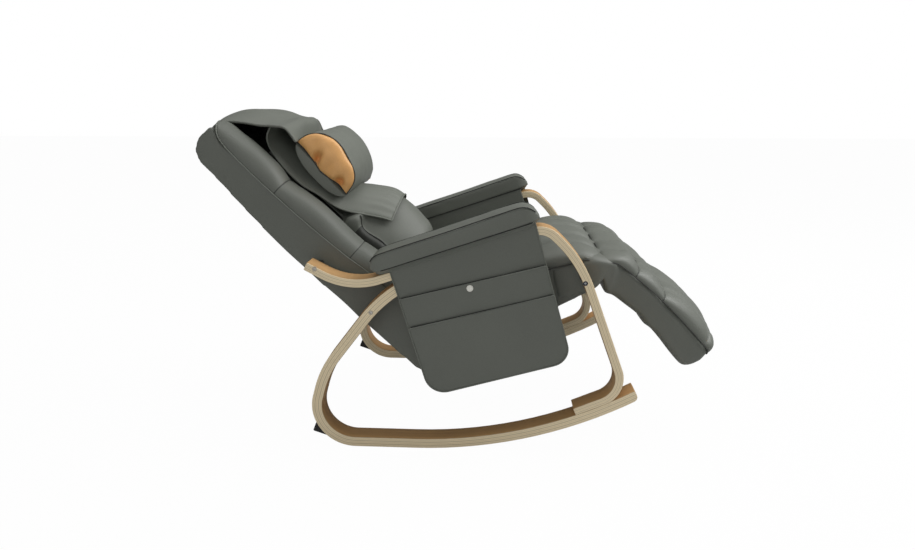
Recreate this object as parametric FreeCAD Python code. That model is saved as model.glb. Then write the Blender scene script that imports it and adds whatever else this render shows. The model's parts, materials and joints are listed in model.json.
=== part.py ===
"""Massage rocking chair: bentwood sides, reclined body, massage drive and folding leg rest."""
import FreeCAD
import Part
import math
import os

os.makedirs("parts", exist_ok=True)
Vec = FreeCAD.Vector

# Driving sizes in millimetres and degrees. X points forward, Z up, Y to the sitter's left.
MID_X = 110.7            # distance from the measuring station to the middle of the length
TRACK = 675.0            # outer face to outer face of the two wooden sides
STRIP_WIDTH = 55.0
ROCKER_THICK = 27.0
ARM_THICK = 21.5
ROCKER_RADIUS = 1140.0
ROCKER_LOW_X = -12.0     # rear end of the floor arc, behind which the rocker is flat
ROCKER_TIP_X = 562.5
TIP_ROUND = 14.0         # rounding under the rocker's front tip
HEEL_RADIUS = 112.0
KNEE_X, KNEE_Z = -258.0, 219.0
KNEE_LOW_ANGLE, KNEE_HIGH_ANGLE = 74.0, 52.5
UPRIGHT_END = 273.0      # end of the upright under the arm
ARM_X, ARM_Z, ARM_ANGLE = -72.0, 479.0, 18.6
ARM_REAR, ARM_FRONT = -102.0, 406.6
ARM_HORN, ARM_HORN_ANGLE = 119.6, 152.0
LEG_X, LEG_Z, LEG_SLOPE = 485.4, 312.6, -69.3     # a point and the slope of the leg's front face
BROW_SLOPE = -43.4       # slope between the arm's two front bends
FOOT_X, FOOT_END_X = 440.0, 405.0
BODY_GAP = 12.5          # spacer between wood and body
PANEL_THICK = 22.0
BACK_X, BACK_Z, BACK_ANGLE = -126.0, 457.0, 138.1
SEAT_X, SEAT_Z, SEAT_ANGLE = -60.0, 398.0, 13.7
SEAT_CROWN, SEAT_EDGE = 36.0, 7.0
LEG_ANGLE = -41.8
HINGE_RUN, HINGE_RISE = 534.0, -52.0
LEG_LENGTH = 350.0
LEG_FLANK = 12.5         # leg rest side outside the hinge tubes
LEG_CROWN, LEG_EDGE = 42.0, 19.0
WELT_RISE = 41.0         # top of the leg rest base above the hinge line
LEG_RAISE = 30.0
ARMREST_CROWN, ARMREST_EDGE = 61.0, 54.0
COVER = 4.0              # thickness of the sewn cover panels
REAR_COVER = 6.0         # board-backed cover behind the back
POCKET_THICK = 3.0
TOUCH = 0.3              # gap kept between soft pieces
BOLT_R = 4.0
BOLT_PLAY = 0.2
SPACER_R = 7.0
HEAD_R = 6.0             # heads of the bolts that carry the body
RUN_PLAY = 0.05          # radial play of turning and sliding fits
TUBE_H, TUBE_W, TUBE_WALL = 30.0, 20.0, 1.5
BACK_WALL, LEG_WALL = 2.5, 1.2     # walls of the tubes in the back and the leg rest
DECK_THICK, LEG_DECK = 12.0, 6.0
RAIL_INSET, RAIL_N, RAIL_R = 42.5, -33.0, 11.0     # guide rails inside the back frame
RAIL_GRIP = 15.0         # half width of the blocks and bushes on the rails
BATTEN_WIDTH = 42.5
ROLL_WIDTH = 107.0       # side roll of the back with its gap to the pad
SCREW_R = 6.0
FRAME_TOP = 425.0        # top of the back frame along the back
CARRIAGE_U = 180.0       # height of the massage carriage at rest
SHAFT_N, SHAFT_R = -14.0, 7.0
MASSAGE_ARM_Y = 89.0
ROLLER_R, ROLLER_W, ROLLER_RUN, AXLE_R = 22.0, 30.0, 55.0, 5.0

# Sizes that follow from the ones above.
WOOD_OUT = TRACK / 2
WOOD_IN = WOOD_OUT - STRIP_WIDTH
BODY_HALF = WOOD_IN - BODY_GAP
INNER_HALF = BODY_HALF - PANEL_THICK
TUBE_OUT = INNER_HALF - 0.5
TUBE_IN = TUBE_OUT - TUBE_W
TUBE_N = (-75.0, -75.0 + TUBE_H)
RAIL_M = (-36.0 - TUBE_H, -36.0)
DECK_TOP = RAIL_M[1] + DECK_THICK
RAIL_Y = TUBE_IN - RAIL_INSET
LEG_HALF = TUBE_IN + LEG_FLANK
PAD_HALF = BODY_HALF - ROLL_WIDTH
BOLSTER_IN = PAD_HALF + 2.0
MESH_N = (19.0, 22.0)
BOLSTER_LOW = -86.0
CROSS_U = (-130.0, FRAME_TOP - TUBE_W)     # lower ends of the back frame's cross tubes


class Side:
    """A frame in the side view: a run direction, a rise direction, and Y across."""

    def __init__(self, x, z, angle, flip=1):
        turn = math.radians(angle)
        self.origin = Vec(x, 0, z)
        self.run = Vec(math.cos(turn), 0, math.sin(turn))
        self.rise = Vec(-math.sin(turn), 0, math.cos(turn)) * flip

    def at(self, run, y, rise):
        return self.origin + self.run * run + self.rise * rise + Vec(0, y, 0)

    def flat(self, corners):
        """Corners given as run, rise and radius become x, z and radius."""
        found = []
        for run, rise, radius in corners:
            spot = self.at(run, 0, rise)
            found.append((spot.x, spot.z, radius))
        return found


FLOOR = Side(0, 0, 0)
BACK = Side(BACK_X, BACK_Z, BACK_ANGLE, -1)
SEAT = Side(SEAT_X, SEAT_Z, SEAT_ANGLE)
ARM = Side(ARM_X, ARM_Z, ARM_ANGLE)
HINGE = SEAT.at(HINGE_RUN, 0, HINGE_RISE)
LEG = Side(HINGE.x, HINGE.z, LEG_ANGLE)
CARRIAGE_AT = BACK.at(CARRIAGE_U, 0, 0)
CARRIAGE = Side(CARRIAGE_AT.x, CARRIAGE_AT.z, BACK_ANGLE, -1)


def meet(x1, z1, angle1, x2, z2, angle2):
    """Where two side-view lines cross, each given by a point and its angle."""
    c1, s1 = math.cos(math.radians(angle1)), math.sin(math.radians(angle1))
    c2, s2 = math.cos(math.radians(angle2)), math.sin(math.radians(angle2))
    along = ((x2 - x1) * s2 - (z2 - z1) * c2) / (c1 * s2 - s1 * c2)
    return x1 + c1 * along, z1 + s1 * along


def outline(corners, y, closed=True):
    """Edges through rounded corners in a plane of constant y."""
    count = len(corners)
    stops = []
    for i, (x, z, radius) in enumerate(corners):
        here = Vec(x, y, z)
        if radius == 0 or (not closed and i in (0, count - 1)):
            stops.append((here, here, here))
            continue
        last = corners[i - 1]
        following = corners[(i + 1) % count]
        back = (Vec(last[0], y, last[1]) - here).normalize()
        ahead = (Vec(following[0], y, following[1]) - here).normalize()
        half = back.getAngle(ahead) / 2
        bisector = (back + ahead).normalize()
        reach = radius / math.tan(half)
        middle = here + bisector * (radius / math.sin(half) - radius)
        stops.append((here + back * reach, middle, here + ahead * reach))
    edges = []
    for i in range(count):
        start, middle, end = stops[i]
        if (end - start).Length > 1e-6:
            edges.append(Part.Arc(start, middle, end).toShape())
        if i + 1 < count or closed:
            after = stops[(i + 1) % count][0]
            if (after - end).Length > 1e-6:
                edges.append(Part.makeLine(end, after))
    return edges


def prism(corners, y):
    """Solid between two y values with a rounded outline of x, z and radius."""
    face = Part.Face(Part.Wire(outline(corners, y[0])))
    return face.extrude(Vec(0, y[1] - y[0], 0))


def inset(corners, depth):
    """The same open line moved to its right, so that right-hand bends tighten."""
    lines = []
    for (x1, z1, _), (x2, z2, _) in zip(corners, corners[1:]):
        length = math.hypot(x2 - x1, z2 - z1)
        dx, dz = (x2 - x1) / length, (z2 - z1) / length
        lines.append((x1 + dz * depth, z1 - dx * depth, math.degrees(math.atan2(dz, dx)), dx, dz))
    moved = [(lines[0][0], lines[0][1], 0)]
    for (x1, z1, a1, dx1, dz1), (x2, z2, a2, dx2, dz2), corner in zip(lines, lines[1:], corners[1:]):
        x, z = meet(x1, z1, a1, x2, z2, a2)
        right = dx1 * dz2 - dz1 * dx2 < 0
        moved.append((x, z, corner[2] - depth if right else corner[2] + depth))
    x, z, _ = corners[-1]
    dx, dz = lines[-1][3], lines[-1][4]
    moved.append((x + dz * depth, z - dx * depth, 0))
    return moved


def strip(corners, thick, y):
    """Bent strip whose one face follows the corners, with its thickness to the right."""
    inner = inset(corners, thick)
    first = outline(corners, y[0], False)
    second = outline(inner, y[0], False)
    ends = []
    for i in (0, -1):
        ends.append(Part.makeLine(Vec(corners[i][0], y[0], corners[i][1]),
                                  Vec(inner[i][0], y[0], inner[i][1])))
    wire = Part.Wire(Part.__sortEdges__(first + second + ends))
    return Part.Face(wire).extrude(Vec(0, y[1] - y[0], 0))


def block(side, run, y, rise):
    corners = [(run[0], rise[0], 0), (run[1], rise[0], 0), (run[1], rise[1], 0), (run[0], rise[1], 0)]
    return prism(side.flat(corners), y)


def tube(side, run, y, rise, along, wall=TUBE_WALL):
    """Hollow rectangular tube, open along one of run or y."""
    if along == "run":
        core = block(side, run, (y[0] + wall, y[1] - wall), (rise[0] + wall, rise[1] - wall))
    else:
        core = block(side, (run[0] + wall, run[1] - wall), y, (rise[0] + wall, rise[1] - wall))
    return block(side, run, y, rise).cut(core)


def rod_run(side, run, y, rise, radius):
    return Part.makeCylinder(radius, run[1] - run[0], side.at(run[0], y, rise), side.run)


def rod_rise(side, run, y, rise, radius):
    return Part.makeCylinder(radius, rise[1] - rise[0], side.at(run, y, rise[0]), side.rise)


def rod_across(side, run, y, rise, radius):
    return Part.makeCylinder(radius, y[1] - y[0], side.at(run, y[0], rise), Vec(0, 1, 0))


def mirrored(shape):
    return shape.mirror(Vec(0, 0, 0), Vec(0, 1, 0))


def save(name, shape):
    moved = shape.copy()
    moved.translate(Vec(-MID_X, 0, 0))
    moved.exportStep("parts/%s.step" % name)


def save_both(name, shape):
    save(name + "_right", shape)
    save(name + "_left", mirrored(shape))


def group(shapes):
    return Part.makeCompound(shapes)


def joined(shapes):
    return shapes[0].multiFuse(shapes[1:]).removeSplitter()


def crowned(side, run, y_mid, half, base, edge, crown, tuck=8.0):
    """Cushion section across Y: flat base, bulging sides and a crowned top."""
    def spot(y, rise):
        return side.at(run, y_mid + y, rise)
    middle = (base + edge) / 2
    low, high = half - tuck / 2, half - tuck
    edges = [
        Part.makeLine(spot(-low, base), spot(low, base)),
        Part.Arc(spot(low, base), spot(half, middle), spot(high, edge)).toShape(),
        Part.Arc(spot(high, edge), spot(0, crown), spot(-high, edge)).toShape(),
        Part.Arc(spot(-high, edge), spot(-half, middle), spot(-low, base)).toShape(),
    ]
    return Part.Wire(edges)


def loft(sections):
    return Part.makeLoft(sections, True, True)


def channels(start, end, count, steps):
    """Runs along a quilted pad with a fullness of 0 at each seam and 1 in mid channel."""
    found = []
    for i in range(count * steps + 1):
        part = (i % steps) / steps
        found.append((start + (end - start) * i / (count * steps), math.sin(math.pi * part) ** 0.6))
    return found


# Bentwood sides

def rocker_corners():
    """Outer face of the rocker strip, from the front tip round the heel to under the arm."""
    turn = math.asin((ROCKER_TIP_X - ROCKER_LOW_X) / ROCKER_RADIUS)
    tip_z = ROCKER_RADIUS * (1 - math.cos(turn))
    belly = meet(ROCKER_TIP_X, tip_z, math.degrees(turn), 0, 0, 0)
    heel = meet(0, 0, 0, KNEE_X, KNEE_Z, KNEE_LOW_ANGLE)
    under = ARM.at(0, 0, -ARM_THICK)
    shoulder = meet(KNEE_X, KNEE_Z, KNEE_HIGH_ANGLE, under.x, under.z, ARM_ANGLE)
    end = ARM.at(UPRIGHT_END, 0, -ARM_THICK)
    return [(ROCKER_TIP_X, tip_z, 0), (belly[0], belly[1], ROCKER_RADIUS), (heel[0], heel[1], HEEL_RADIUS),
            (KNEE_X, KNEE_Z, 290.0), (shoulder[0], shoulder[1], 380.0), (end.x, end.z, 0)]


def foot_line():
    """Point and angle of the line on which the arm's foot lies on the rocker."""
    top = ROCKER_RADIUS - ROCKER_THICK
    turn = math.asin((FOOT_X - ROCKER_LOW_X) / top)
    return FOOT_X, ROCKER_RADIUS - top * math.cos(turn) - 2.0, math.degrees(turn)


def arm_corners():
    """Upper and front face of the arm strip, from its rear horn to the foot."""
    rear = ARM.at(ARM_REAR, 0, 0)
    front = ARM.at(ARM_FRONT, 0, 0)
    turn = math.radians(ARM_HORN_ANGLE)
    foot_x, foot_z, foot_a = foot_line()
    shin = meet(front.x, front.z, BROW_SLOPE, LEG_X, LEG_Z, LEG_SLOPE)
    toe = meet(LEG_X, LEG_Z, LEG_SLOPE, foot_x, foot_z, foot_a)
    end_z = foot_z + (FOOT_END_X - foot_x) * math.tan(math.radians(foot_a))
    return [(rear.x + ARM_HORN * math.cos(turn), rear.z + ARM_HORN * math.sin(turn), 0),
            (rear.x, rear.z, 170.0), (front.x, front.z, 66.0), (shin[0], shin[1], 330.0),
            (toe[0], toe[1], 78.0), (FOOT_END_X, end_z, 0)]


def bolt_spots():
    """Centres of the three bolts that carry the body on each side."""
    return [(-256.0, 486.0), (-119.0, 375.0), (411.5, 459.5)]


def body_bolt(x, z):
    """Socket-head bolt from the wood's outer face into the steel tube."""
    head = Part.makeCylinder(HEAD_R, 6.0, Vec(x, -WOOD_OUT, z), Vec(0, 1, 0))
    shank = Part.makeCylinder(BOLT_R, WOOD_OUT - 6.0 - TUBE_IN - 4.0,
                              Vec(x, -WOOD_OUT + 6.0, z), Vec(0, 1, 0))
    corners = [Vec(x + 3.0 * math.cos(math.radians(60 * i)), -WOOD_OUT,
                   z + 3.0 * math.sin(math.radians(60 * i))) for i in range(7)]
    socket = Part.Face(Part.makePolygon(corners)).extrude(Vec(0, 4.0, 0))
    return head.fuse(shank).cut(socket).removeSplitter()


def body_bolt_holes():
    holes = []
    for x, z in bolt_spots():
        holes.append(Part.makeCylinder(HEAD_R + BOLT_PLAY, 6.0, Vec(x, -WOOD_OUT, z), Vec(0, 1, 0)))
        holes.append(Part.makeCylinder(BOLT_R + BOLT_PLAY, WOOD_OUT - TUBE_IN - 3.0,
                                       Vec(x, -WOOD_OUT, z), Vec(0, 1, 0)))
    return group(holes)


def joint_bolts(play):
    """Bolts that hold the upright to the arm and the foot to the rocker."""
    y = -WOOD_OUT + STRIP_WIDTH / 2
    made = []
    sunk = -1.0 if play else 1.0     # heads sit inside the sole, their holes open through it
    for run in (150.0, 225.0):
        low = -ARM_THICK - ROCKER_THICK
        made.append(rod_rise(ARM, run, y, (low, -5.0), BOLT_R + play))
        made.append(rod_rise(ARM, run, y, (low, low + 5.0), 7.5 + play))
    for x in (424.0, 456.0):
        turn = math.asin((x - ROCKER_LOW_X) / ROCKER_RADIUS)
        up = Vec(-math.sin(turn), 0, math.cos(turn))
        start = Vec(ROCKER_LOW_X, y, ROCKER_RADIUS) - up * (ROCKER_RADIUS - sunk)
        made.append(Part.makeCylinder(BOLT_R + play, ROCKER_THICK + ARM_THICK - 7.0 - sunk, start, up))
        made.append(Part.makeCylinder(7.5 + play, 7.0 - sunk, start, up))
    return [made[i].fuse(made[i + 1]).removeSplitter() for i in range(0, len(made), 2)]


def build_wood():
    y = (-WOOD_OUT, -WOOD_IN)
    corners = rocker_corners()
    rocker = strip(corners, ROCKER_THICK, y)
    tip = [e for e in rocker.Edges if all(abs(v.X - corners[0][0]) + abs(v.Z - corners[0][1]) < 0.01
                                          for v in e.Vertexes)]
    rocker = rocker.makeFillet(TIP_ROUND, tip)
    arm = strip(arm_corners(), ARM_THICK, y)
    bed = Part.makeCylinder(ROCKER_RADIUS - ROCKER_THICK - 0.1, STRIP_WIDTH,
                            Vec(ROCKER_LOW_X, -WOOD_OUT, ROCKER_RADIUS), Vec(0, 1, 0))
    arm = arm.common(bed)
    holes = group(joint_bolts(BOLT_PLAY))
    save_both("rocker", rocker.cut(holes).cut(body_bolt_holes()))
    save_both("arm", arm.cut(holes).cut(body_bolt_holes()))
    bolts = joint_bolts(0.0)
    save("joint_bolts", group(bolts + [mirrored(b) for b in bolts]))
    wedge = prism([(-277, 64, 3), (-286, 41, 3), (-240, 25, 3), (-232, 45, 0)], (y[0] + 5.0, y[1] - 5.0))
    wedge = wedge.cut(rocker)
    save("rear_stops", group([wedge, mirrored(wedge)]))


def build_body_bolts():
    bolts = [body_bolt(x, z) for x, z in bolt_spots()]
    save("body_bolts", group(bolts + [mirrored(b) for b in bolts]))
    spacers = []
    for x, z in bolt_spots():
        ring = Part.makeCylinder(SPACER_R, BODY_GAP, Vec(x, -WOOD_IN, z), Vec(0, 1, 0))
        spacers.append(ring.cut(body_bolt_holes()))
    save("body_spacers", group(spacers + [mirrored(s) for s in spacers]))


# Body shell

SEAT_BELLY = (27.0, 194.6, 29.1)     # a point and the angle of the seat's lower edge
BACK_TOP = (-505.0, 839.6)
TOP_ANGLE = 40.7
SHEET_N = 82.0


def rear_corners():
    """Lower and rear edge of the body, from under the seat up to the head end."""
    low = meet(SEAT_BELLY[0], SEAT_BELLY[1], SEAT_BELLY[2], -126.0, 303.0, 136.5)
    waist = meet(-126.0, 303.0, 136.5, -497.0, 680.0, 131.2)
    top = meet(-497.0, 680.0, 131.2, BACK_TOP[0], BACK_TOP[1], TOP_ANGLE)
    return [(low[0], low[1], 50.0), (waist[0], waist[1], 2000.0), (top[0], top[1], 48.0)]


def back_foot():
    """Where the back's front plane meets the seat's lower edge."""
    return meet(BACK_X, BACK_Z, BACK_ANGLE, SEAT_BELLY[0], SEAT_BELLY[1], SEAT_BELLY[2])


def back_corners():
    """Side outline of the back, whose front edge turns up at the neck."""
    foot = back_foot()
    neck = meet(BACK_TOP[0], BACK_TOP[1], 90.0, BACK_X, BACK_Z, BACK_ANGLE)
    corners = [(BACK_TOP[0], BACK_TOP[1], 12.0), (neck[0], neck[1], 50.0), (foot[0], foot[1], 0)]
    return corners + rear_corners()


def build_side_panels():
    y = (-BODY_HALF, -INNER_HALF)
    back = prism(back_corners(), y).cut(body_bolt_holes())
    save("back_side_right", back)
    save("back_side_left", mirrored(back).cut(inlet_hole()))
    lead = SEAT.run * 0.5
    belly = math.tan(math.radians(SEAT_BELLY[2]))
    front_x = HINGE.x - 12.0
    brow = SEAT.at(485.0, 0, 0)
    heel = meet(BACK_X + lead.x, BACK_Z + lead.z, BACK_ANGLE, SEAT_X, SEAT_Z, SEAT_ANGLE)
    low = meet(BACK_X + lead.x, BACK_Z + lead.z, BACK_ANGLE, SEAT_BELLY[0], SEAT_BELLY[1], SEAT_BELLY[2])
    corners = [(low[0], low[1], 0), (front_x, SEAT_BELLY[1] + belly * (front_x - SEAT_BELLY[0]), 24.0),
               (front_x + 4.0, HINGE.z + 27.0, 6.0), (brow.x, brow.z, 60.0),
               (heel[0], heel[1], 0)]
    save_both("seat_side", prism(corners, y).cut(body_bolt_holes()))


def build_covers():
    """Rear cover wrapped from under the seat to the head end, and the seat's bottom cover."""
    y = (-INNER_HALF, INNER_HALF)
    foot = back_foot()
    corners = [(foot[0], foot[1], 0)] + rear_corners() + [(BACK_TOP[0], BACK_TOP[1], 0)]
    save("rear_cover", strip(corners, REAR_COVER, y))
    turn = math.radians(SEAT_BELLY[2])
    length = (HINGE.x - 26.0 - foot[0]) / math.cos(turn)
    belly = Side(foot[0], foot[1], SEAT_BELLY[2])
    save("seat_bottom_cover", block(belly, (1.0, length), y, (0, COVER)))


# Steel frames and battens

def build_frames():
    sides = ((-TUBE_OUT, -TUBE_IN), (TUBE_IN, TUBE_OUT))
    span = (-TUBE_IN, TUBE_IN)
    back = [tube(BACK, (-200.0, FRAME_TOP), y, TUBE_N, "run", BACK_WALL) for y in sides]
    back += [tube(BACK, (u, u + TUBE_W), span, TUBE_N, "y", BACK_WALL) for u in CROSS_U]
    holes = body_bolt_holes()
    holes = group([holes, mirrored(holes)])
    save("back_frame", joined(back).cut(holes))
    clash = block(BACK, (-210.0, FRAME_TOP), (-TUBE_OUT, TUBE_OUT), TUBE_N)
    seat = [tube(SEAT, (-60.0, HINGE_RUN - 34.0), y, RAIL_M, "run").cut(clash) for y in sides]
    seat += [tube(SEAT, (s, s + TUBE_W), span, RAIL_M, "y") for s in (60.0, HINGE_RUN - 70.0)]
    for y in ((-TUBE_IN, -TUBE_IN + 5.0), (TUBE_IN - 5.0, TUBE_IN)):
        plate = block(SEAT, (HINGE_RUN - 46.0, HINGE_RUN), y, (HINGE_RISE - 12.0, HINGE_RISE + 12.0))
        eye = rod_across(SEAT, HINGE_RUN, y, HINGE_RISE, 14.0)
        hole = rod_across(SEAT, HINGE_RUN, y, HINGE_RISE, 5.0 + RUN_PLAY)
        seat.append(plate.fuse(eye).cut(hole))
    save("seat_frame", joined(seat).cut(holes))
    battens = []
    for y in ((-TUBE_OUT, BATTEN_WIDTH - TUBE_OUT), (TUBE_OUT - BATTEN_WIDTH, TUBE_OUT)):
        battens.append(block(BACK, (BOLSTER_LOW, FRAME_TOP), y, (TUBE_N[1], -TOUCH)))
    save("bolster_battens", group(battens))


def build_seat_inside():
    deck = block(SEAT, (40.0, HINGE_RUN - 36.0), (-INNER_HALF, INNER_HALF), (RAIL_M[1], DECK_TOP))
    save("seat_deck", deck)
    box = block(SEAT, (130.0, 290.0), (-90.0, 90.0), (RAIL_M[1] - 46.0, RAIL_M[1]))
    hollow = block(SEAT, (133.0, 287.0), (-87.0, 87.0), (RAIL_M[1] - 43.0, RAIL_M[1]))
    save("control_box", box.cut(hollow))
    motor = rod_across(SEAT, 350.0, (-35.0, 35.0), RAIL_M[1] - 22.0, 20.0)
    foot = block(SEAT, (328.0, 372.0), (-14.0, 14.0), (RAIL_M[1] - 22.0, RAIL_M[1]))
    save("vibration_motor", motor.fuse(foot).removeSplitter())


INLET_X, INLET_Z = -80.0, 297.0


def inlet_block(x, y, z):
    return Part.makeBox(2 * x, y[1] - y[0], 2 * z, Vec(INLET_X - x, y[0], INLET_Z - z))


def inlet_hole():
    return inlet_block(15.0 + BOLT_PLAY, (INNER_HALF - 1.0, BODY_HALF + 1.0), 11.0 + BOLT_PLAY)


def build_inlet():
    """Three-blade power inlet let into the left side of the back."""
    body = inlet_block(15.0, (INNER_HALF + 0.5, BODY_HALF + 3.0), 11.0)
    flange = inlet_block(25.0, (BODY_HALF, BODY_HALF + 3.0), 14.0)
    cup = inlet_block(12.0, (BODY_HALF - 16.0, BODY_HALF + 3.0), 8.0)
    blades = []
    for x, z in ((-7.0, -2.0), (0.0, 2.5), (7.0, -2.0)):
        corner = Vec(INLET_X + x - 1.0, BODY_HALF - 16.0, INLET_Z + z - 2.0)
        blades.append(Part.makeBox(2.0, 10.0, 4.0, corner))
    save("power_inlet", group([body.fuse(flange).cut(cup).removeSplitter()] + blades))


# Massage drive behind the mesh

def build_drive():
    """Guide rails, lead screw and lift motor fixed to the back frame."""
    rails = [rod_run(BACK, (CROSS_U[0], FRAME_TOP), y, RAIL_N, RAIL_R) for y in (-RAIL_Y, RAIL_Y)]
    save("guide_rails", group(rails))
    blocks = []
    for u in CROSS_U:
        for y in (-RAIL_Y, RAIL_Y):
            made = block(BACK, (u, u + TUBE_W), (y - RAIL_GRIP, y + RAIL_GRIP),
                         (TUBE_N[1], RAIL_N + RAIL_GRIP))
            blocks.append(made.cut(group(rails)))
        made = block(BACK, (u, u + TUBE_W), (-18.0, 18.0), (TUBE_N[1], RAIL_N + 14.0))
        blocks.append(made.cut(rod_run(BACK, (u - 1.0, u + 40.0), 0, RAIL_N, SCREW_R + RUN_PLAY)))
    save("rail_blocks", group(blocks))
    save("lead_screw", rod_run(BACK, (CROSS_U[0] - 5.0, FRAME_TOP - 2.0), 0, RAIL_N, SCREW_R))
    low = CROSS_U[0]
    motor = rod_run(BACK, (low - 106.0, low - 10.0), 0, RAIL_N, 24.0)
    bracket = block(BACK, (low - 10.0, low), (-30.0, 30.0), (TUBE_N[0], RAIL_N + 20.0))
    hole = rod_run(BACK, (low - 20.0, low + 1.0), 0, RAIL_N, SCREW_R + 1.0)
    save("lift_motor", motor.fuse(bracket).cut(hole).removeSplitter())
    supply = block(BACK, (low + 5.0, low + 100.0), (-110.0, 110.0), (TUBE_N[0] - 28.0, TUBE_N[0]))
    save("power_supply", supply)


def build_carriage():
    """Carriage plate with its bushes, drive nut, shaft bearings and gear motor."""
    low = TUBE_N[0] + 13.0
    top = low + 5.0
    half = RAIL_Y + RAIL_GRIP
    plate = block(CARRIAGE, (-60.0, 60.0), (-half, half), (low, top))
    lip = block(CARRIAGE, (57.0, 60.0), (50.0 - half, half - 50.0), (top, top + 14.0))
    save("carriage_plate", joined([plate, lip]))
    bushes = []
    for y in (-RAIL_Y, RAIL_Y):
        for run in (-50.0, 20.0):
            made = block(CARRIAGE, (run, run + 30.0), (y - RAIL_GRIP, y + RAIL_GRIP),
                         (top, RAIL_N + RAIL_GRIP))
            hole = rod_run(CARRIAGE, (run - 1.0, run + 31.0), y, RAIL_N, RAIL_R + RUN_PLAY)
            bushes.append(made.cut(hole))
    save("carriage_bushes", group(bushes))
    nut = block(CARRIAGE, (20.0, 50.0), (-14.0, 14.0), (top, RAIL_N + 14.0))
    save("drive_nut", nut.cut(rod_run(CARRIAGE, (19.0, 51.0), 0, RAIL_N, SCREW_R + RUN_PLAY)))
    shaft_hole = rod_across(CARRIAGE, 0, (-200.0, 200.0), SHAFT_N, SHAFT_R + RUN_PLAY)
    bearings = []
    for y in (-60.0, 60.0):
        made = block(CARRIAGE, (-14.0, 14.0), (y - 9.0, y + 9.0), (top, SHAFT_N + 14.0))
        bearings.append(made.cut(shaft_hole))
    save("shaft_bearings", group(bearings))
    gearbox = block(CARRIAGE, (-22.0, 19.0), (15.0, 47.0), (top, SHAFT_N + 14.0))
    save("kneading_gearbox", gearbox.cut(shaft_hole))
    motor = rod_run(CARRIAGE, (-118.0, -22.0), 30.0, RAIL_N - 2.0, 19.0)
    save("kneading_motor", motor)
    save("kneading_shaft", rod_across(CARRIAGE, 0, (-MASSAGE_ARM_Y - 16.0, MASSAGE_ARM_Y + 16.0),
                                      SHAFT_N, SHAFT_R))


def build_massage_arms():
    """Two rocking arms on the kneading shaft, each carrying an upper and a lower roller."""
    y = (-MASSAGE_ARM_Y - 12.0, -MASSAGE_ARM_Y)
    corners = [(-ROLLER_RUN - 12.0, SHAFT_N - 8.0, 8.0), (0, SHAFT_N - 20.0, 40.0),
               (ROLLER_RUN + 12.0, SHAFT_N - 8.0, 8.0), (ROLLER_RUN + 12.0, SHAFT_N + 12.0, 8.0),
               (-ROLLER_RUN - 12.0, SHAFT_N + 12.0, 8.0)]
    arm = prism(CARRIAGE.flat(corners), y)
    arm = arm.cut(rod_across(CARRIAGE, 0, (-200.0, 200.0), SHAFT_N, SHAFT_R + RUN_PLAY))
    axle_y = (y[0] - ROLLER_W - 5.0, y[0])
    names = ("lower", "upper")
    for name, run in zip(names, (-ROLLER_RUN, ROLLER_RUN)):
        arm = arm.fuse(rod_across(CARRIAGE, run, axle_y, SHAFT_N + 2.0, AXLE_R))
        roller_y = (y[0] - 1.0 - ROLLER_W, y[0] - 1.0)
        roller = rod_across(CARRIAGE, run, roller_y, SHAFT_N + 2.0, ROLLER_R)
        rims = [e for e in roller.Edges if e.Closed and e.Curve.TypeId == "Part::GeomCircle"]
        roller = roller.makeFillet(7.0, rims)
        roller = roller.cut(rod_across(CARRIAGE, run, axle_y, SHAFT_N + 2.0, AXLE_R + RUN_PLAY))
        save_both("roller_" + name, roller)
    save_both("massage_arm", arm.removeSplitter())


# Soft pieces of the back

def build_bolsters():
    """Side rolls in three sewn lengths, fuller at the head."""
    lengths = ((BOLSTER_LOW, 68.0, 38.0), (68.0, 318.0, 36.0), (318.0, 522.0, 57.0))
    sections = []
    outer, inner = BODY_HALF - 2.0, BOLSTER_IN
    for start, end, full in lengths:
        for run, swell in channels(start, end, 1, 6):
            if sections and run == start:
                continue
            crown = 30.0 + (full - 30.0) * swell
            edge = 22.0 + 4.0 * swell
            bulge = outer - 6.0 * (1.0 - swell)
            points = [BACK.at(run, y, n) for y, n in
                      ((-inner, TOUCH), (-inner, edge), (-(inner + bulge) / 2, crown),
                       (6.0 - bulge, edge - 6.0), (-bulge, edge / 2), (2.0 - bulge, TOUCH))]
            sections.append(Part.Wire([
                Part.makeLine(points[0], points[1]),
                Part.Arc(points[1], points[2], points[3]).toShape(),
                Part.Arc(points[3], points[4], points[5]).toShape(),
                Part.makeLine(points[5], points[0])]))
    body = prism(back_corners(), (-BODY_HALF, -BOLSTER_IN + 1.0))
    body.translate(BACK.rise * TOUCH)
    pieces = loft(sections).cut(body).Solids
    save_both("back_bolster", max(pieces, key=lambda piece: piece.Volume))


def build_back_front():
    """Elastic mesh, lumbar pad and the sheet that hangs from the head end."""
    mesh = block(BACK, (-100.0, 520.0), (-BOLSTER_IN, BOLSTER_IN), MESH_N)
    save("massage_mesh", mesh)
    stations = ((-95.0, 50.0, 74.0), (-50.0, 74.0, 112.0), (40.0, 82.0, 124.0), (100.0, 72.0, 100.0),
                (150.0, 62.0, 79.0), (300.0, 52.0, 70.0), (420.0, 44.0, 58.0))
    sections = [crowned(BACK, u, 0, PAD_HALF, MESH_N[1], edge, crown, 16.0) for u, edge, crown in stations]
    save("lumbar_pad", loft(sections))
    crest = Side(BACK_TOP[0], BACK_TOP[1], TOP_ANGLE)
    path = BACK.flat([(50.0, 130.0, 0), (100.0, 112.0, 150.0), (160.0, SHEET_N, 150.0),
                      (420.0, SHEET_N, 150.0)])
    path += crest.flat([(38.0, 0, 34.0), (-40.0, 0, 0)])
    save("head_sheet", strip(path, COVER, (-PAD_HALF, PAD_HALF)))


PILLOW_BASE = SHEET_N + COVER + TOUCH
PILLOW_HALF = PAD_HALF - 8.0
PILLOW_U = 278.0


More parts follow.
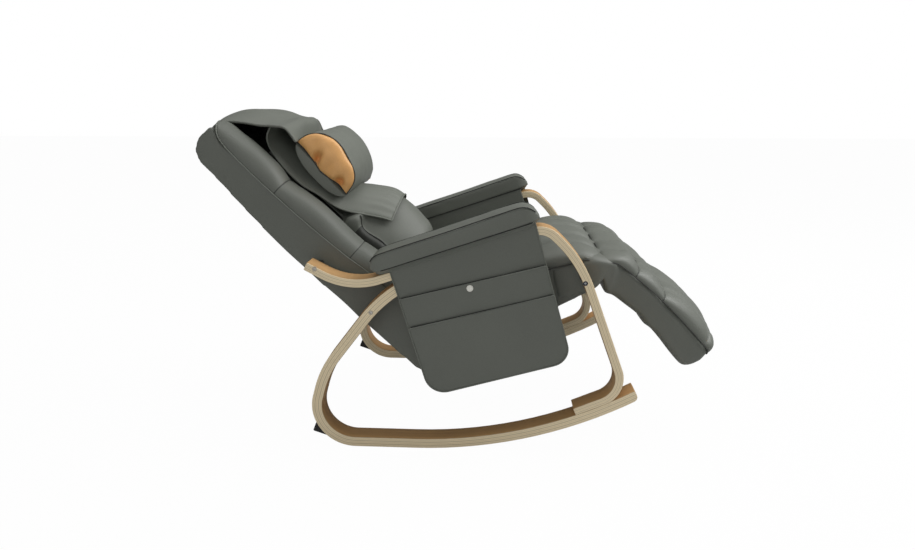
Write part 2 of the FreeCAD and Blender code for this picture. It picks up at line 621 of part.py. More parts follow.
def pillow_section(y, scale):
    """D-shaped pillow section, shrunk about its middle by the scale."""
    def spot(u, n):
        return BACK.at(PILLOW_U + (u - 278.0) * scale, y, PILLOW_BASE + 40.0 + (n - 40.0) * scale)
    corners = [spot(188.0, 0), spot(226.0, 66.0), spot(290.0, 84.0), spot(350.0, 66.0), spot(371.0, 0)]
    return Part.Wire([
        Part.Arc(corners[0], corners[1], corners[2]).toShape(),
        Part.Arc(corners[2], corners[3], corners[4]).toShape(),
        Part.makeLine(corners[4], corners[0])])


def build_pillow():
    scales = ((-PILLOW_HALF, 0.96), (-80.0, 1.0), (80.0, 1.0), (PILLOW_HALF, 0.96))
    pillow = loft([pillow_section(y, scale) for y, scale in scales])
    wide = PILLOW_HALF + 45.0
    floor = block(BACK, (150.0, 420.0), (-wide, wide), (PILLOW_BASE, PILLOW_BASE + 120.0))
    save("head_pillow", pillow.common(floor))
    edge = -PILLOW_HALF - TOUCH
    ends = ((edge, 0.96), (edge - 12.0, 0.9), (edge - 20.0, 0.74), (edge - 25.0, 0.5))
    cap = loft([pillow_section(y, scale) for y, scale in ends]).common(floor)
    save("pillow_ends", group([cap, mirrored(cap)]))


# Seat cushion and leg rest

def build_seat_cushion():
    half = BODY_HALF - 6.0
    sections = [crowned(SEAT, 48.0, 0, half, TOUCH, 4.0, 12.0, 4.0)]
    for run, swell in channels(76.0, HINGE_RUN - 40.0, 3, 6):
        sections.append(crowned(SEAT, run, 0, half + 3.0 * swell, TOUCH, SEAT_EDGE + 4.0 * swell - 2.0,
                                SEAT_CROWN - 8.0 + 8.0 * swell, 4.0))
    sections.append(crowned(SEAT, HINGE_RUN - 20.0, 0, half, TOUCH, 3.0, 18.0, 4.0))
    sections.append(crowned(SEAT, HINGE_RUN - 3.0, 0, half, TOUCH, 1.0, 6.0, 1.0))
    core = block(SEAT, (48.0, HINGE_RUN - 40.0), (TOUCH - INNER_HALF, INNER_HALF - TOUCH), (DECK_TOP, TOUCH))
    save("seat_cushion", loft(sections).fuse(core).removeSplitter())


def build_leg_frame():
    sides = ((-TUBE_IN + 10.5, -TUBE_IN + 30.5), (TUBE_IN - 30.5, TUBE_IN - 10.5))
    rise = (WELT_RISE - LEG_DECK - TUBE_W, WELT_RISE - LEG_DECK)
    made = [tube(LEG, (22.0, LEG_LENGTH - 20.0), y, rise, "run", LEG_WALL) for y in sides]
    for run in (70.0, LEG_LENGTH - 45.0):
        made.append(tube(LEG, (run, run + TUBE_W), (sides[0][1], sides[1][0]), rise, "y", LEG_WALL))
    for y in ((-TUBE_IN + 5.5, -TUBE_IN + 10.5), (TUBE_IN - 10.5, TUBE_IN - 5.5)):
        leaf = block(LEG, (0, 90.0), y, (-12.0, rise[1]))
        leaf = leaf.fuse(rod_across(LEG, 0, y, 0, 14.0))
        made.append(leaf.cut(rod_across(LEG, 0, y, 0, 5.0 + RUN_PLAY)))
    save("legrest_frame", joined(made))
    pin = rod_across(LEG, 0, (-TUBE_IN + 1.0 - 1.5, -TUBE_IN + 14.0), 0, 5.0)
    head = rod_across(LEG, 0, (-TUBE_IN - 3.5, -TUBE_IN - 0.5), 0, 8.0)
    pin = pin.fuse(head).removeSplitter()
    save("hinge_pins", group([pin, mirrored(pin)]))


def build_leg_shell():
    """Padded tray of the leg rest, deeper towards the feet."""
    corners = [(45.0, WELT_RISE, 0), (45.0, -38.0, 10.0), (196.0, -36.0, 4.0), (206.0, -41.0, 4.0),
               (LEG_LENGTH - 8.0, -54.0, 18.0), (LEG_LENGTH + 15.0, -20.0, 28.0),
               (LEG_LENGTH, WELT_RISE, 6.0)]
    shell = prism(LEG.flat(corners), (-LEG_HALF, LEG_HALF))
    wall = 10.0
    cavity = block(LEG, (40.0, LEG_LENGTH - wall), (wall - LEG_HALF, LEG_HALF - wall),
                   (-30.0, WELT_RISE + 1.0))
    save("legrest_shell", shell.cut(cavity))
    deck = block(LEG, (45.0, LEG_LENGTH - wall), (wall - LEG_HALF, LEG_HALF - wall),
                 (WELT_RISE - LEG_DECK, WELT_RISE))
    save("legrest_deck", deck)


def build_leg_cushion():
    """Quilted leg cushion, cut back at the knee so that it clears the seat when raised."""
    sections = []
    for run, swell in channels(-40.0, LEG_LENGTH, 3, 6):
        crown = WELT_RISE + LEG_CROWN - 12.0 + 12.0 * swell
        edge = WELT_RISE + LEG_EDGE - 5.0 + 5.0 * swell
        sections.append(crowned(LEG, run, 0, LEG_HALF - 6.0 + 4.0 * swell, WELT_RISE, edge, crown))
    pad = loft(sections)
    lean = math.tan(math.radians(LEG_RAISE + 3.0 - SEAT_ANGLE + LEG_ANGLE))
    reach = WELT_RISE + 70.0
    knee = prism(LEG.flat([(0, 0, 0), (lean * reach, reach, 0), (-150.0, reach, 0), (-150.0, 0, 0)]),
                 (-LEG_HALF - 5.0, LEG_HALF + 5.0))
    save("legrest_cushion", pad.cut(knee))


# Armrests and their pockets

def build_armrests():
    y_out, y_in = WOOD_OUT + 22.0, BODY_HALF + 2.0
    middle, half = -(y_out + y_in) / 2, (y_out - y_in) / 2
    stations = ((-34.0, 9.0, 0.55), (-24.0, 4.0, 0.85), (0, 0, 1.0), (180.0, 0, 1.0), (360.0, 0, 1.03),
                (382.0, 3.0, 0.88), (394.0, 9.0, 0.52))
    sections = [crowned(ARM, run, middle, half - less, TOUCH, ARMREST_EDGE * full, ARMREST_CROWN * full)
                for run, less, full in stations]
    save_both("armrest_pad", loft(sections))
    run = (-12.0, 366.0)
    inner = block(ARM, run, (-WOOD_IN + 3.5, -WOOD_IN + 3.5 + COVER), (-118.0, 0))
    save("inner_panels", group([inner, mirrored(inner)]))


def pocket_corners(height, slope):
    """Pocket outline below a slanting upper edge, which crosses the station at a height."""
    rear, front = -73.3, -73.8
    bottom = (77.0, 170.0, 16.07)
    corners = []
    for angle, x, z in ((rear, -68.0, 486.0), (front, 289.0, 595.0)):
        corners.append(meet(x, z, angle, 0, height, slope))
    low_front = meet(289.0, 595.0, front, bottom[0], bottom[1], bottom[2])
    low_rear = meet(-68.0, 486.0, rear, bottom[0], bottom[1], bottom[2])
    return [(corners[0][0], corners[0][1], 0), (corners[1][0], corners[1][1], 0),
            (low_front[0], low_front[1], 45.0), (low_rear[0], low_rear[1], 50.0)]


def build_pockets():
    """Hanging panel with two sewn pouches, one over the other, and a press stud."""
    arm_at = ARM_Z - ARM_X * math.tan(math.radians(ARM_ANGLE))
    layers = ((arm_at, ARM_ANGLE), (423.3, 14.5), (342.5, 14.8))
    sheets = []
    y = -WOOD_OUT - 1.5
    for height, slope in layers:
        sheets.append(prism(pocket_corners(height, slope), (y - POCKET_THICK, y)))
        y -= POCKET_THICK
    save_both("pocket_panel", sheets[0])
    save_both("pocket_pouches", group(sheets[1:]))
    y += POCKET_THICK
    stud = rod_across(FLOOR, 132.0, (y - 2.0, y), 447.0, 7.0)
    save("pocket_studs", group([stud, mirrored(stud)]))


build_wood()
build_body_bolts()
build_side_panels()
build_covers()
build_frames()
build_seat_inside()
build_inlet()
build_drive()
build_carriage()
build_massage_arms()
build_bolsters()
build_back_front()
build_pillow()
build_seat_cushion()
build_leg_frame()
build_leg_shell()
build_leg_cushion()
build_armrests()
build_pockets()
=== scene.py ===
import json
from bisect import bisect
from math import asin, cos, degrees, exp, pi, radians, sin, tan

import bmesh
import bpy
from bmesh import ops
from bmesh.types import BMEdge, BMVert
from mathutils import Matrix, Vector, noise
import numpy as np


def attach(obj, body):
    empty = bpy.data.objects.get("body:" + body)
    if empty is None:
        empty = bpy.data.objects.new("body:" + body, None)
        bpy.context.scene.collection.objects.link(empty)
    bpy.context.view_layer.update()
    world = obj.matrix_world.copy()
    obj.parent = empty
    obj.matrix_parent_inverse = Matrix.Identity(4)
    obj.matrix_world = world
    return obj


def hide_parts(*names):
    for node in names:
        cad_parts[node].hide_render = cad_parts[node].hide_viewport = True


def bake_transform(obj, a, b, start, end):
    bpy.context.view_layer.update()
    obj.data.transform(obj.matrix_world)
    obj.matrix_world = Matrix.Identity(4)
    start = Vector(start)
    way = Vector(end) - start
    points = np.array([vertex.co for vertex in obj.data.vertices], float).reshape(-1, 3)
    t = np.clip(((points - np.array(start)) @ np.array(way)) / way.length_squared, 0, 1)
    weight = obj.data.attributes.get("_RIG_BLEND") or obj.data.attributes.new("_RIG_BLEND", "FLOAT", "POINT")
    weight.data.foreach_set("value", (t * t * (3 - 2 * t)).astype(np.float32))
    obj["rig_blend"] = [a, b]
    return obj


bl_info = {
    "name": "Massage rocking chair",
    "version": (1, 0, 0),
    "blender": (4, 5, 0),
    "location": "View3D > Sidebar > Chair",
    "description": "Dresses the packed rocking chair with bent wood, leather and quilted pads",
    "category": "Object",
}

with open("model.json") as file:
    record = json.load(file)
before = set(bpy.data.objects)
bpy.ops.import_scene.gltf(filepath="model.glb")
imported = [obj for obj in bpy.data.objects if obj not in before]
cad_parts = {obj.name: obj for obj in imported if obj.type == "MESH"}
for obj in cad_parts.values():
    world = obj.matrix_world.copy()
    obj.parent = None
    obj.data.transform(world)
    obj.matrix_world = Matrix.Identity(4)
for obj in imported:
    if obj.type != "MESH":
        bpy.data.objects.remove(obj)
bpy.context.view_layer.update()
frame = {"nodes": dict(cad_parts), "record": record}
NODES = frame["nodes"]
SIDES = (("right", -1), ("left", 1))
MID = 0.1107          # distance from the measuring station to the middle of the length
ARM_SLOPE = 18.6


class Plane:
    """A frame in the side view: a run direction, a rise direction, and Y across."""

    def __init__(self, x, z, angle, flip=1):
        turn = radians(angle)
        self.origin = Vector((x, 0, z))
        self.run = Vector((cos(turn), 0, sin(turn)))
        self.rise = Vector((-sin(turn), 0, cos(turn))) * flip

    def at(self, run, y, rise):
        return self.origin + self.run * run + self.rise * rise + Vector((0, y, 0))

    def local(self, spot):
        offset = spot - self.origin
        return offset.dot(self.run), spot.y, offset.dot(self.rise)


FLOOR = Plane(0, 0, 0)
BACK = Plane(-0.126 - MID, 0.457, 138.1, -1)
SEAT = Plane(-0.060 - MID, 0.398, 13.7)
ARM = Plane(-0.072 - MID, 0.479, ARM_SLOPE)
HINGE = SEAT.at(0.534, 0, -0.052)
LEG = Plane(HINGE.x, HINGE.z, -41.8)


# Finishes

class Value:
    """A shader value that takes part in Python sums."""

    def __init__(self, finish, socket):
        self.finish, self.socket = finish, socket

    def __add__(self, other):
        return self.finish.math("ADD", self, other)

    def __sub__(self, other):
        return self.finish.math("SUBTRACT", self, other)

    def __rsub__(self, other):
        return self.finish.math("SUBTRACT", other, self)

    def __mul__(self, other):
        return self.finish.math("MULTIPLY", self, other)

    def __pow__(self, other):
        return self.finish.math("POWER", self, other)

    __radd__, __rmul__ = __add__, __mul__


class Finish:
    """A material and the nodes that make it."""

    def __init__(self, name):
        self.material = bpy.data.materials.new(name)
        self.material.use_nodes = True
        self.tree = self.material.node_tree
        self.shader = self.tree.nodes["Principled BSDF"]

    def node(self, kind, inputs, **settings):
        made = self.tree.nodes.new("ShaderNode" + kind)
        for key, value in settings.items():
            setattr(made, key, value)
        for key, value in inputs.items():
            self.feed(made.inputs[key], value)
        return made

    def feed(self, socket, value):
        if isinstance(value, Value):
            value = value.socket
        if isinstance(value, bpy.types.NodeSocket):
            self.tree.links.new(value, socket)
        else:
            socket.default_value = (*value, 1) if socket.type == "RGBA" else value

    def value(self, node, output=0):
        return Value(self, node.outputs[output])

    def math(self, operation, *parts):
        return self.value(self.node("Math", dict(enumerate(parts)), operation=operation))

    def ramp(self, factor, *stops):
        """Greys at some places of a factor."""
        made = self.node("ValToRGB", {"Fac": factor})
        elements = made.color_ramp.elements
        while len(elements) < len(stops):
            elements.new(0.5)
        for element, (place, grey) in zip(elements, stops):
            element.position = place
            element.color = (grey, grey, grey, 1)
        return self.value(made)

    def spots(self, source="Object"):
        return self.node("TexCoord", {}).outputs[source]

    def place(self, scale=(1, 1, 1), source="Object"):
        return self.node("Mapping", {"Vector": self.spots(source), "Scale": scale}).outputs[0]

    def axis(self, spots, name):
        return self.value(self.node("SeparateXYZ", {0: spots}), name)

    def noise(self, scale, detail=3.0, stretch=(1, 1, 1), source="Object"):
        spots = self.place(stretch, source)
        return self.value(self.node("TexNoise", {"Vector": spots, "Scale": scale, "Detail": detail}), "Fac")

    def grain(self, detail, along, across):
        """Noise drawn out along a bent strip."""
        return self.noise(1.0, detail, (along, across, 1.0), "UV")

    def blend(self, factor, first, second, **settings):
        made = self.node("Mix", {"Factor": factor, 6: first, 7: second}, data_type="RGBA", **settings)
        return made.outputs[2]

    def set(self, **sockets):
        for name, value in sockets.items():
            self.feed(self.shader.inputs[name.replace("_", " ")], value)

    def bump(self, height, strength, distance):
        """The last touch: fine relief. Gives the finished material."""
        made = self.node("Bump", {"Height": height, "Strength": strength, "Distance": distance})
        self.set(Normal=made.outputs[0])
        return self.material


def shaded(colour, factor):
    return tuple(min(1.0, part * factor) for part in colour)


def leather(name, colour, rough, grain):
    """Soft coated leather: pebbled grain, faint creases and uneven sheen."""
    skin = Finish(name)
    pebbles = skin.node("TexVoronoi", {"Vector": skin.place(), "Scale": grain, "Smoothness": 0.6},
                        feature="SMOOTH_F1")
    pebble = skin.value(pebbles, "Distance")
    crease, cloud = skin.noise(38.0, 6.0), skin.noise(5.0)
    tone = skin.blend(cloud, shaded(colour, 0.90), shaded(colour, 1.10))
    valley = skin.ramp(pebble, (0.0, 1.0), (0.75, 0.78))
    skin.set(Base_Color=skin.blend(0.6, tone, valley, blend_type="MULTIPLY"),
             Roughness=rough - 0.06 + 0.14 * cloud, Specular_IOR_Level=0.42)
    return skin.bump(1.0 - pebble * 0.8 + crease * 0.7, 0.22, 0.0006)


def veneer(name, colour, dark):
    """Broad face of the bent strips: long straight grain along the strip."""
    face = Finish(name)
    streak, band, pores = face.grain(5.0, 3.0, 190.0), face.grain(2.0, 1.2, 38.0), face.grain(2.0, 60.0, 1500.0)
    face.set(Base_Color=face.blend((streak * 0.6 + band * 0.55 - 0.1) ** 1.4, dark, colour),
             Roughness=0.42 + 0.2 * streak, Specular_IOR_Level=0.25)
    return face.bump(streak + pores * 0.5, 0.12, 0.0005)


def plies(name, colour, dark, count):
    """Cut edge of the bent strips: stacked plies with thin glue lines."""
    edge = Finish(name)
    layer = edge.axis(edge.spots("UV"), "Y") * count + edge.grain(2.0, 9.0, 1.0) * 0.16
    glue = edge.ramp(edge.math("FRACT", layer), (0.0, 0.0), (0.15, 1.0), (0.85, 1.0), (1.0, 0.0))
    odd = edge.math("PINGPONG", layer, 1.0)
    fibre = edge.grain(4.0, 26.0, 240.0)
    base = edge.blend(odd * 0.6 + fibre * 0.4, shaded(colour, 0.72), shaded(colour, 1.12))
    edge.set(Base_Color=edge.blend(glue * 0.75 + 0.25, dark, base), Roughness=0.5 + 0.15 * fibre)
    return edge.bump(glue * 0.6 + fibre, 0.12, 0.0004)


def metal(name, colour, rough, brushed):
    """Bare metal with fine marks in one direction."""
    bare = Finish(name)
    marks = bare.noise(60.0, 3.0, (1, brushed, 1))
    bare.set(Base_Color=bare.blend(marks, shaded(colour, 0.86), colour), Roughness=rough + 0.14 * marks,
             Metallic=1.0)
    return bare.bump(marks, 0.08, 0.0003)


def coat(name, colour, rough, scale=900.0, strength=0.15):
    """Powder paint, moulded plastic or rubber: an even colour with a fine skin."""
    skin = Finish(name)
    grain, cloud = skin.noise(scale), skin.noise(9.0, 2.0)
    skin.set(Base_Color=skin.blend(cloud, shaded(colour, 0.85), shaded(colour, 1.2)),
             Roughness=rough + 0.12 * grain)
    return skin.bump(grain, strength, 0.0004)


def bolt_head(name, rim, rear_tone, floor):
    """Bolt with a bright socket floor, told apart by its depth; the rear bolts are lighter."""
    head = Finish(name)
    spots = head.place()
    inside = head.math("LESS_THAN", head.math("ABSOLUTE", head.axis(spots, "Y")), WOOD_OUT - 0.003)
    rear = head.math("LESS_THAN", head.axis(spots, "X"), 0.0)
    marks = head.noise(300.0, 2.0)
    head.set(Base_Color=head.blend(inside, head.blend(rear, rim, rear_tone), floor), Roughness=0.3 + 0.2 * marks,
             Metallic=0.8)
    return head.bump(marks, 0.1, 0.0003)


def woven(name, colour, pitch):
    """Open net: two crossed sets of yarns."""
    net = Finish(name)
    spots = net.place((1 / pitch,) * 3)
    across, along = (net.math("PINGPONG", net.axis(spots, axis), 0.5) for axis in "YZ")
    yarn = across * 2.0 * along * 2.0
    net.set(Base_Color=net.blend(yarn, shaded(colour, 0.3), colour), Roughness=0.7 + 0.2 * yarn)
    return net.bump(yarn, 0.5, 0.0008)


FINISHES = {}
# Name, tone of the cover colour, roughness and fineness of each grey leather. The roll and head tones are painted
# shade and painted light, the piping tone a painted highlight, and the two darkest tones painted shade in seams and
# gaps.
LEATHERS = (
    ("pad_leather", 1.0, 0.5, 620.0), ("side_leather", 0.92, 0.52, 620.0), ("flap_leather", 0.96, 0.54, 700.0),
    # roll: darker copy, painted shade that dims the back rolls; head: lighter copy, painted light on the hood,
    # pillow and back sheet
    ("roll_leather", 0.84, 0.52, 620.0), ("head_leather", 1.15, 0.52, 620.0),
    # piping: lighter copy, painted highlight along bound edges, welts and hems
    # seam: dark copy, painted shade in seam creases, along welts and piping and on the lumbar pad's side wall
    # the last, near-black copy: painted shade along the armrest seams and under the pocket openings
    ("piping_leather", 1.15, 0.45, 900.0), ("seam_leather", 0.30, 0.6, 900.0), ("thread_line", 0.16, 0.7, 900.0))


def make_finishes(looks):
    grey, brown, wood, ply = (tuple(tone) for tone in (looks.leather, looks.tan, looks.veneer, looks.ply))
    for name, tone, rough, grain in LEATHERS:
        FINISHES[name.split("_")[0]] = leather(name, shaded(grey, tone), rough, grain)
    FINISHES.update(
        tan=leather("tan_leather", brown, 0.45, 700.0),
        veneer=veneer("bent_veneer", wood, shaded(wood, 0.55)),
        plies=plies("ply_edge", ply, shaded(ply, 0.30), 6.0),
        board=veneer("inner_board", (0.55, 0.42, 0.28), (0.35, 0.25, 0.15)),
        steel=metal("bolt_steel", (0.66, 0.66, 0.65), 0.28, 14),
        brass=metal("nut_brass", (0.72, 0.52, 0.22), 0.3, 8),
        paint=coat("frame_paint", (0.022, 0.022, 0.023), 0.42),
        plastic=coat("black_plastic", (0.025, 0.025, 0.026), 0.4),
        rubber=coat("black_rubber", (0.018, 0.018, 0.018), 0.68, 400.0, 0.25),
        net=woven("back_net", (0.012, 0.012, 0.012), 0.003),
        stud=coat("stud_enamel", (0.80, 0.79, 0.72), 0.35),
        bolt=bolt_head("bolt_head", (0.045, 0.050, 0.065), (0.50, 0.45, 0.37), (0.75, 0.75, 0.74)))


# Pieces

def linked(name, data):
    made = bpy.data.objects.new(name, data)
    bpy.context.scene.collection.objects.link(made)
    return made


def mesh_of(bm, name):
    mesh = bpy.data.meshes.new(name)
    bm.to_mesh(mesh)
    bm.free()
    return mesh


def merged(bm, near):
    ops.remove_doubles(bm, verts=bm.verts, dist=near)
    ops.recalc_face_normals(bm, faces=bm.faces)


def smoothed(mesh):
    mesh.polygons.foreach_set("use_smooth", [True] * len(mesh.polygons))


def shown(mesh, name, finishes, body, slot, sharp=0):
    """A mesh as a piece that rides on a body; edges bent more than the sharp angle stay sharp."""
    for finish in finishes:
        mesh.materials.append(FINISHES[finish])
    smoothed(mesh)
    if sharp:
        mesh.set_sharp_from_angle(angle=radians(sharp))
    piece = linked(name, mesh)
    if body:
        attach(piece, body)
    return piece


def hang(bm, name, *dress):
    return shown(mesh_of(bm, name), name, *dress)


def evaluated(piece):
    return piece.evaluated_get(bpy.context.evaluated_depsgraph_get())


def settled(piece):
    """Replaces a piece's mesh by what its modifiers make of it."""
    made = bpy.data.meshes.new_from_object(evaluated(piece))
    old = piece.data
    piece.modifiers.clear()
    piece.data = made
    made.name = piece.name
    bpy.data.meshes.remove(old)
    smoothed(made)


def padding(piece, fill, *nodes, body="chair"):
    """Puts a soft piece on its body, in the place of CAD nodes."""
    if body:
        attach(piece, body)
    if nodes:
        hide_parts(*nodes)


def soft_copy(node, finish, slot, size, rounds):
    """A CAD pad in even quads, with its hard edges eased."""
    bm = bmesh.new()
    bm.from_mesh(NODES[node].data)
    merged(bm, 1e-5)
    piece = hang(bm, node + "_cover", [finish], None, slot)
    voxels = piece.modifiers.new("voxels", "REMESH")
    voxels.mode, voxels.voxel_size = "VOXEL", size
    ease = piece.modifiers.new("ease", "SMOOTH")
    ease.factor, ease.iterations = 0.5, rounds
    settled(piece)
    padding(piece, 0.7, node)
    return piece


def tube_along(points, radius, name, finish, slot, body="chair"):
    """A thin round piping laid along points."""
    line = bpy.data.curves.new(name, "CURVE")
    line.dimensions = "3D"
    line.bevel_depth, line.bevel_resolution = radius, 1
    line.use_fill_caps = True
    spline = line.splines.new("POLY")
    spline.points.add(len(points) - 1)
    for spot, point in zip(spline.points, points):
        spot.co = (*point, 1)
    rope = linked(name, line)
    mesh = bpy.data.meshes.new_from_object(evaluated(rope))
    bpy.data.objects.remove(rope)
    mesh.materials.clear()
    return shown(mesh, name, [finish], body, slot)


# Bent wood

def meet(x1, z1, angle1, x2, z2, angle2):
    """Where two side-view lines cross, each given by a point and its angle."""
    c1, s1 = cos(radians(angle1)), sin(radians(angle1))
    c2, s2 = cos(radians(angle2)), sin(radians(angle2))
    along = ((x2 - x1) * s2 - (z2 - z1) * c2) / (c1 * s2 - s1 * c2)
    return x1 + c1 * along, z1 + s1 * along


ROCKER_RADIUS, ROCKER_LOW = 1.140, -0.012 - MID
ROCKER_THICK, ARM_THICK = 0.027, 0.0215
TIP_ROUND, EDGE_ROUND = 0.014, 0.0022
WOOD_OUT, WOOD_IN = 0.3375, 0.2825
BOLTS = [(-0.256 - MID, 0.486), (-0.119 - MID, 0.375), (0.4115 - MID, 0.4595)]
BORE_RADIUS, BORE_DEPTH = 0.0062, 0.006


def rocker_line():
    tip_x = 0.5625 - MID
    turn = asin((tip_x - ROCKER_LOW) / ROCKER_RADIUS)
    tip_z = ROCKER_RADIUS * (1 - cos(turn))
    knee_x, knee_z = -0.258 - MID, 0.219
    belly = meet(tip_x, tip_z, degrees(turn), 0, 0, 0)
    heel = meet(0, 0, 0, knee_x, knee_z, 74.0)
    under, end = ARM.at(0, 0, -ARM_THICK), ARM.at(0.273, 0, -ARM_THICK)
    shoulder = meet(knee_x, knee_z, 52.5, under.x, under.z, ARM_SLOPE)
    return [(tip_x, tip_z, 0), (*belly, ROCKER_RADIUS), (*heel, 0.112), (knee_x, knee_z, 0.29), (*shoulder, 0.38),
            (end.x, end.z, 0)]


def arm_line():
    rear, front = ARM.at(-0.102, 0, 0), ARM.at(0.4066, 0, 0)
    leg = (0.4854 - MID, 0.3126, -69.3)
    top = ROCKER_RADIUS - ROCKER_THICK
    foot_x, end_x = 0.440 - MID, 0.405 - MID
    turn = asin((foot_x - ROCKER_LOW) / top)
    foot_z = ROCKER_RADIUS - top * cos(turn) - 0.002
    shin = meet(front.x, front.z, -43.4, *leg)
    toe = meet(*leg, foot_x, foot_z, degrees(turn))
    horn, horn_length = radians(152.0), 0.1196
    return [(rear.x + horn_length * cos(horn), rear.z + horn_length * sin(horn), 0), (rear.x, rear.z, 0.170),
            (front.x, front.z, 0.066), (*shin, 0.330), (*toe, 0.078),
            (end_x, foot_z + (end_x - foot_x) * tan(turn), 0)]


def line_parts(corners):
    """Parts of a strip's line: runs as (0, start, way, length, run), bends as (radius, centre, arm, turn, run)."""
    spots = [Vector((x, z)) for x, z, _ in corners]
    ways = [(b - a).normalized() for a, b in zip(spots, spots[1:])]
    parts, run, here = [], 0.0, spots[0]
    for i, way in enumerate(ways, 1):
        radius = corners[i][2]
        turn = way.angle(ways[i]) if radius else 0.0
        reach = radius * tan(turn / 2)
        ahead = spots[i] - way * reach
        length = (ahead - here).length
        parts.append((0, here, way, length, run))
        run += length
        if radius:
            side = 1 if way.y * ways[i].x - way.x * ways[i].y > 0 else -1
            centre = ahead + Vector((way.y, -way.x)) * radius * side
            parts.append((radius, centre, ahead - centre, turn * side, run))
            run += radius * turn
            here = spots[i] + ways[i] * reach
    return parts


def of_kind(kind, geom):
    return [item for item in geom if isinstance(item, kind)]


def bevelled(bm, edges, offset, segments):
    ops.bevel(bm, geom=edges, offset=offset, offset_type="OFFSET", segments=segments, profile=0.5, affect="EDGES",
              material=-1)


def bent_strip(parts, thick, low, high, tip):
    """Strip laid along a line: runs are extruded, bends are spun."""
    bm = bmesh.new()
    _, start, way, _, _ = parts[0]
    corner = Vector((start.x, low, start.y))
    edge = bm.edges.new([bm.verts.new(spot) for spot in (corner, corner + Vector((way.y, 0, -way.x)) * thick)])
    for radius, spot, way, length, _ in parts:
        if radius:
            side, turn = (1 if length > 0 else -1), abs(length)
            spun = ops.spin(bm, geom=[edge], cent=(spot.x, low, spot.y), axis=(0, side, 0), angle=turn,
                            steps=max(6, int(degrees(turn) / 2.0)))
            edge = of_kind(BMEdge, spun["geom_last"])[0]
        else:
            made = ops.extrude_edge_only(bm, edges=[edge])["geom"]
            ops.translate(bm, verts=of_kind(BMVert, made), vec=Vector((way.x, 0, way.y)) * length)
            edge = [e for e in of_kind(BMEdge, made)
                    if len(e.link_faces) == 1 and abs(e.calc_length() - thick) < 1e-4][0]
    grown = ops.extrude_face_region(bm, geom=list(bm.faces), use_keep_orig=True)["geom"]
    ops.translate(bm, verts=of_kind(BMVert, grown), vec=(0, high - low, 0))
    merged(bm, 1e-6)
    if tip:
        bevelled(bm, [e for e in bm.edges if all((v.co.xz - start).length < 1e-4 for v in e.verts)], tip, 8)
    bevelled(bm, [e for e in bm.edges if len(e.link_faces) == 2 and e.calc_face_angle() > 1.0], EDGE_ROUND, 3)
    return bm


def run_and_depth(parts, spot):
    """Run along the line and depth to its right, from the nearest part."""
    found = []
    for radius, start, way, length, run in parts:
        offset = spot - start
        if radius:
            side, reach = (1 if length > 0 else -1), abs(length) * radius
            along = way.angle_signed(offset) * side * radius
            depth = (radius - offset.length) * side
        else:
            along, reach = offset.dot(way), length
            depth = offset.x * way.y - offset.y * way.x
        found.append((max(0.0, -along, along - reach), abs(depth), run + along, depth))
    return min(found)[2:]


def grain_strip(bm, parts, thick):
    """UV along the strip: plies on its cut edges, grain on its broad faces."""
    layer = bm.loops.layers.uv.new("UVMap")
    bm.verts.index_update()
    seen = [run_and_depth(parts, vert.co.xz) for vert in bm.verts]
    for face in bm.faces:
        cut = abs(face.normal.y) > 0.7
        face.material_index = int(cut)
        for loop in face.loops:
            run, depth = seen[loop.vert.index]
            loop[layer].uv = (run, depth / thick if cut else loop.vert.co.y)


def drilled(piece, spots, side):
    """Round counterbores for the bolt heads, cut from the strip's outer face."""
    for x, z in spots:
        bm = bmesh.new()
        ops.create_cone(bm, cap_ends=True, segments=32, radius1=BORE_RADIUS, radius2=BORE_RADIUS,
                        depth=2 * BORE_DEPTH)
        ops.rotate(bm, verts=bm.verts, matrix=Matrix.Rotation(pi / 2, 3, "X"))
        ops.translate(bm, verts=bm.verts, vec=(x, side * WOOD_OUT, z))
        bit = linked("drill", mesh_of(bm, "drill"))
        cut = piece.modifiers.new("drill", "BOOLEAN")
        cut.object, cut.solver = bit, "EXACT"
        settled(piece)
        bpy.data.meshes.remove(bit.data)


class CHAIR_OT_bent_sides(bpy.types.Operator):
    """Bent plywood rockers and arms with grain, plies and counterbores"""
    bl_idname = "chair.bent_sides"
    bl_label = "Bent sides"

    def execute(self, context):
        strips = (("rocker", line_parts(rocker_line()), ROCKER_THICK, TIP_ROUND, BOLTS[1:2]),
                  ("arm", line_parts(arm_line()), ARM_THICK, 0.0, BOLTS[::2]))
        for name, side in SIDES:
            low, high = sorted((side * WOOD_OUT, side * WOOD_IN))
            for strip, parts, thick, tip, bolts in strips:
                bm = bent_strip(parts, thick, low, high, tip)
                if strip == "arm":
                    self.seat_foot(bm)
                grain_strip(bm, parts, thick)
                piece = hang(bm, f"{strip}_{name}_wood", ["veneer", "plies"], None, "bent_plywood")
                drilled(piece, bolts, side)
                piece.data.set_sharp_from_angle(angle=radians(30))
                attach(piece, "chair")
                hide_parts(f"{strip}_{name}")
        return {"FINISHED"}

    def seat_foot(self, bm):
        """Lays the foot's lower face on the rocker's arc."""
        middle = Vector((ROCKER_LOW, 0, ROCKER_RADIUS))
        limit = ROCKER_RADIUS - ROCKER_THICK - 0.0002
        for vert in bm.verts:
            arm = Vector((vert.co.x, 0, vert.co.z)) - middle
            if vert.co.z < 0.25 and arm.length > limit:
                vert.co += arm.normalized() * (limit - arm.length)


# Padded forms

SEWN, PINNED, GUSSET, FREE = 1.0, 0.999, 0.998, 0.0      # how firmly a point is held while a pad swells


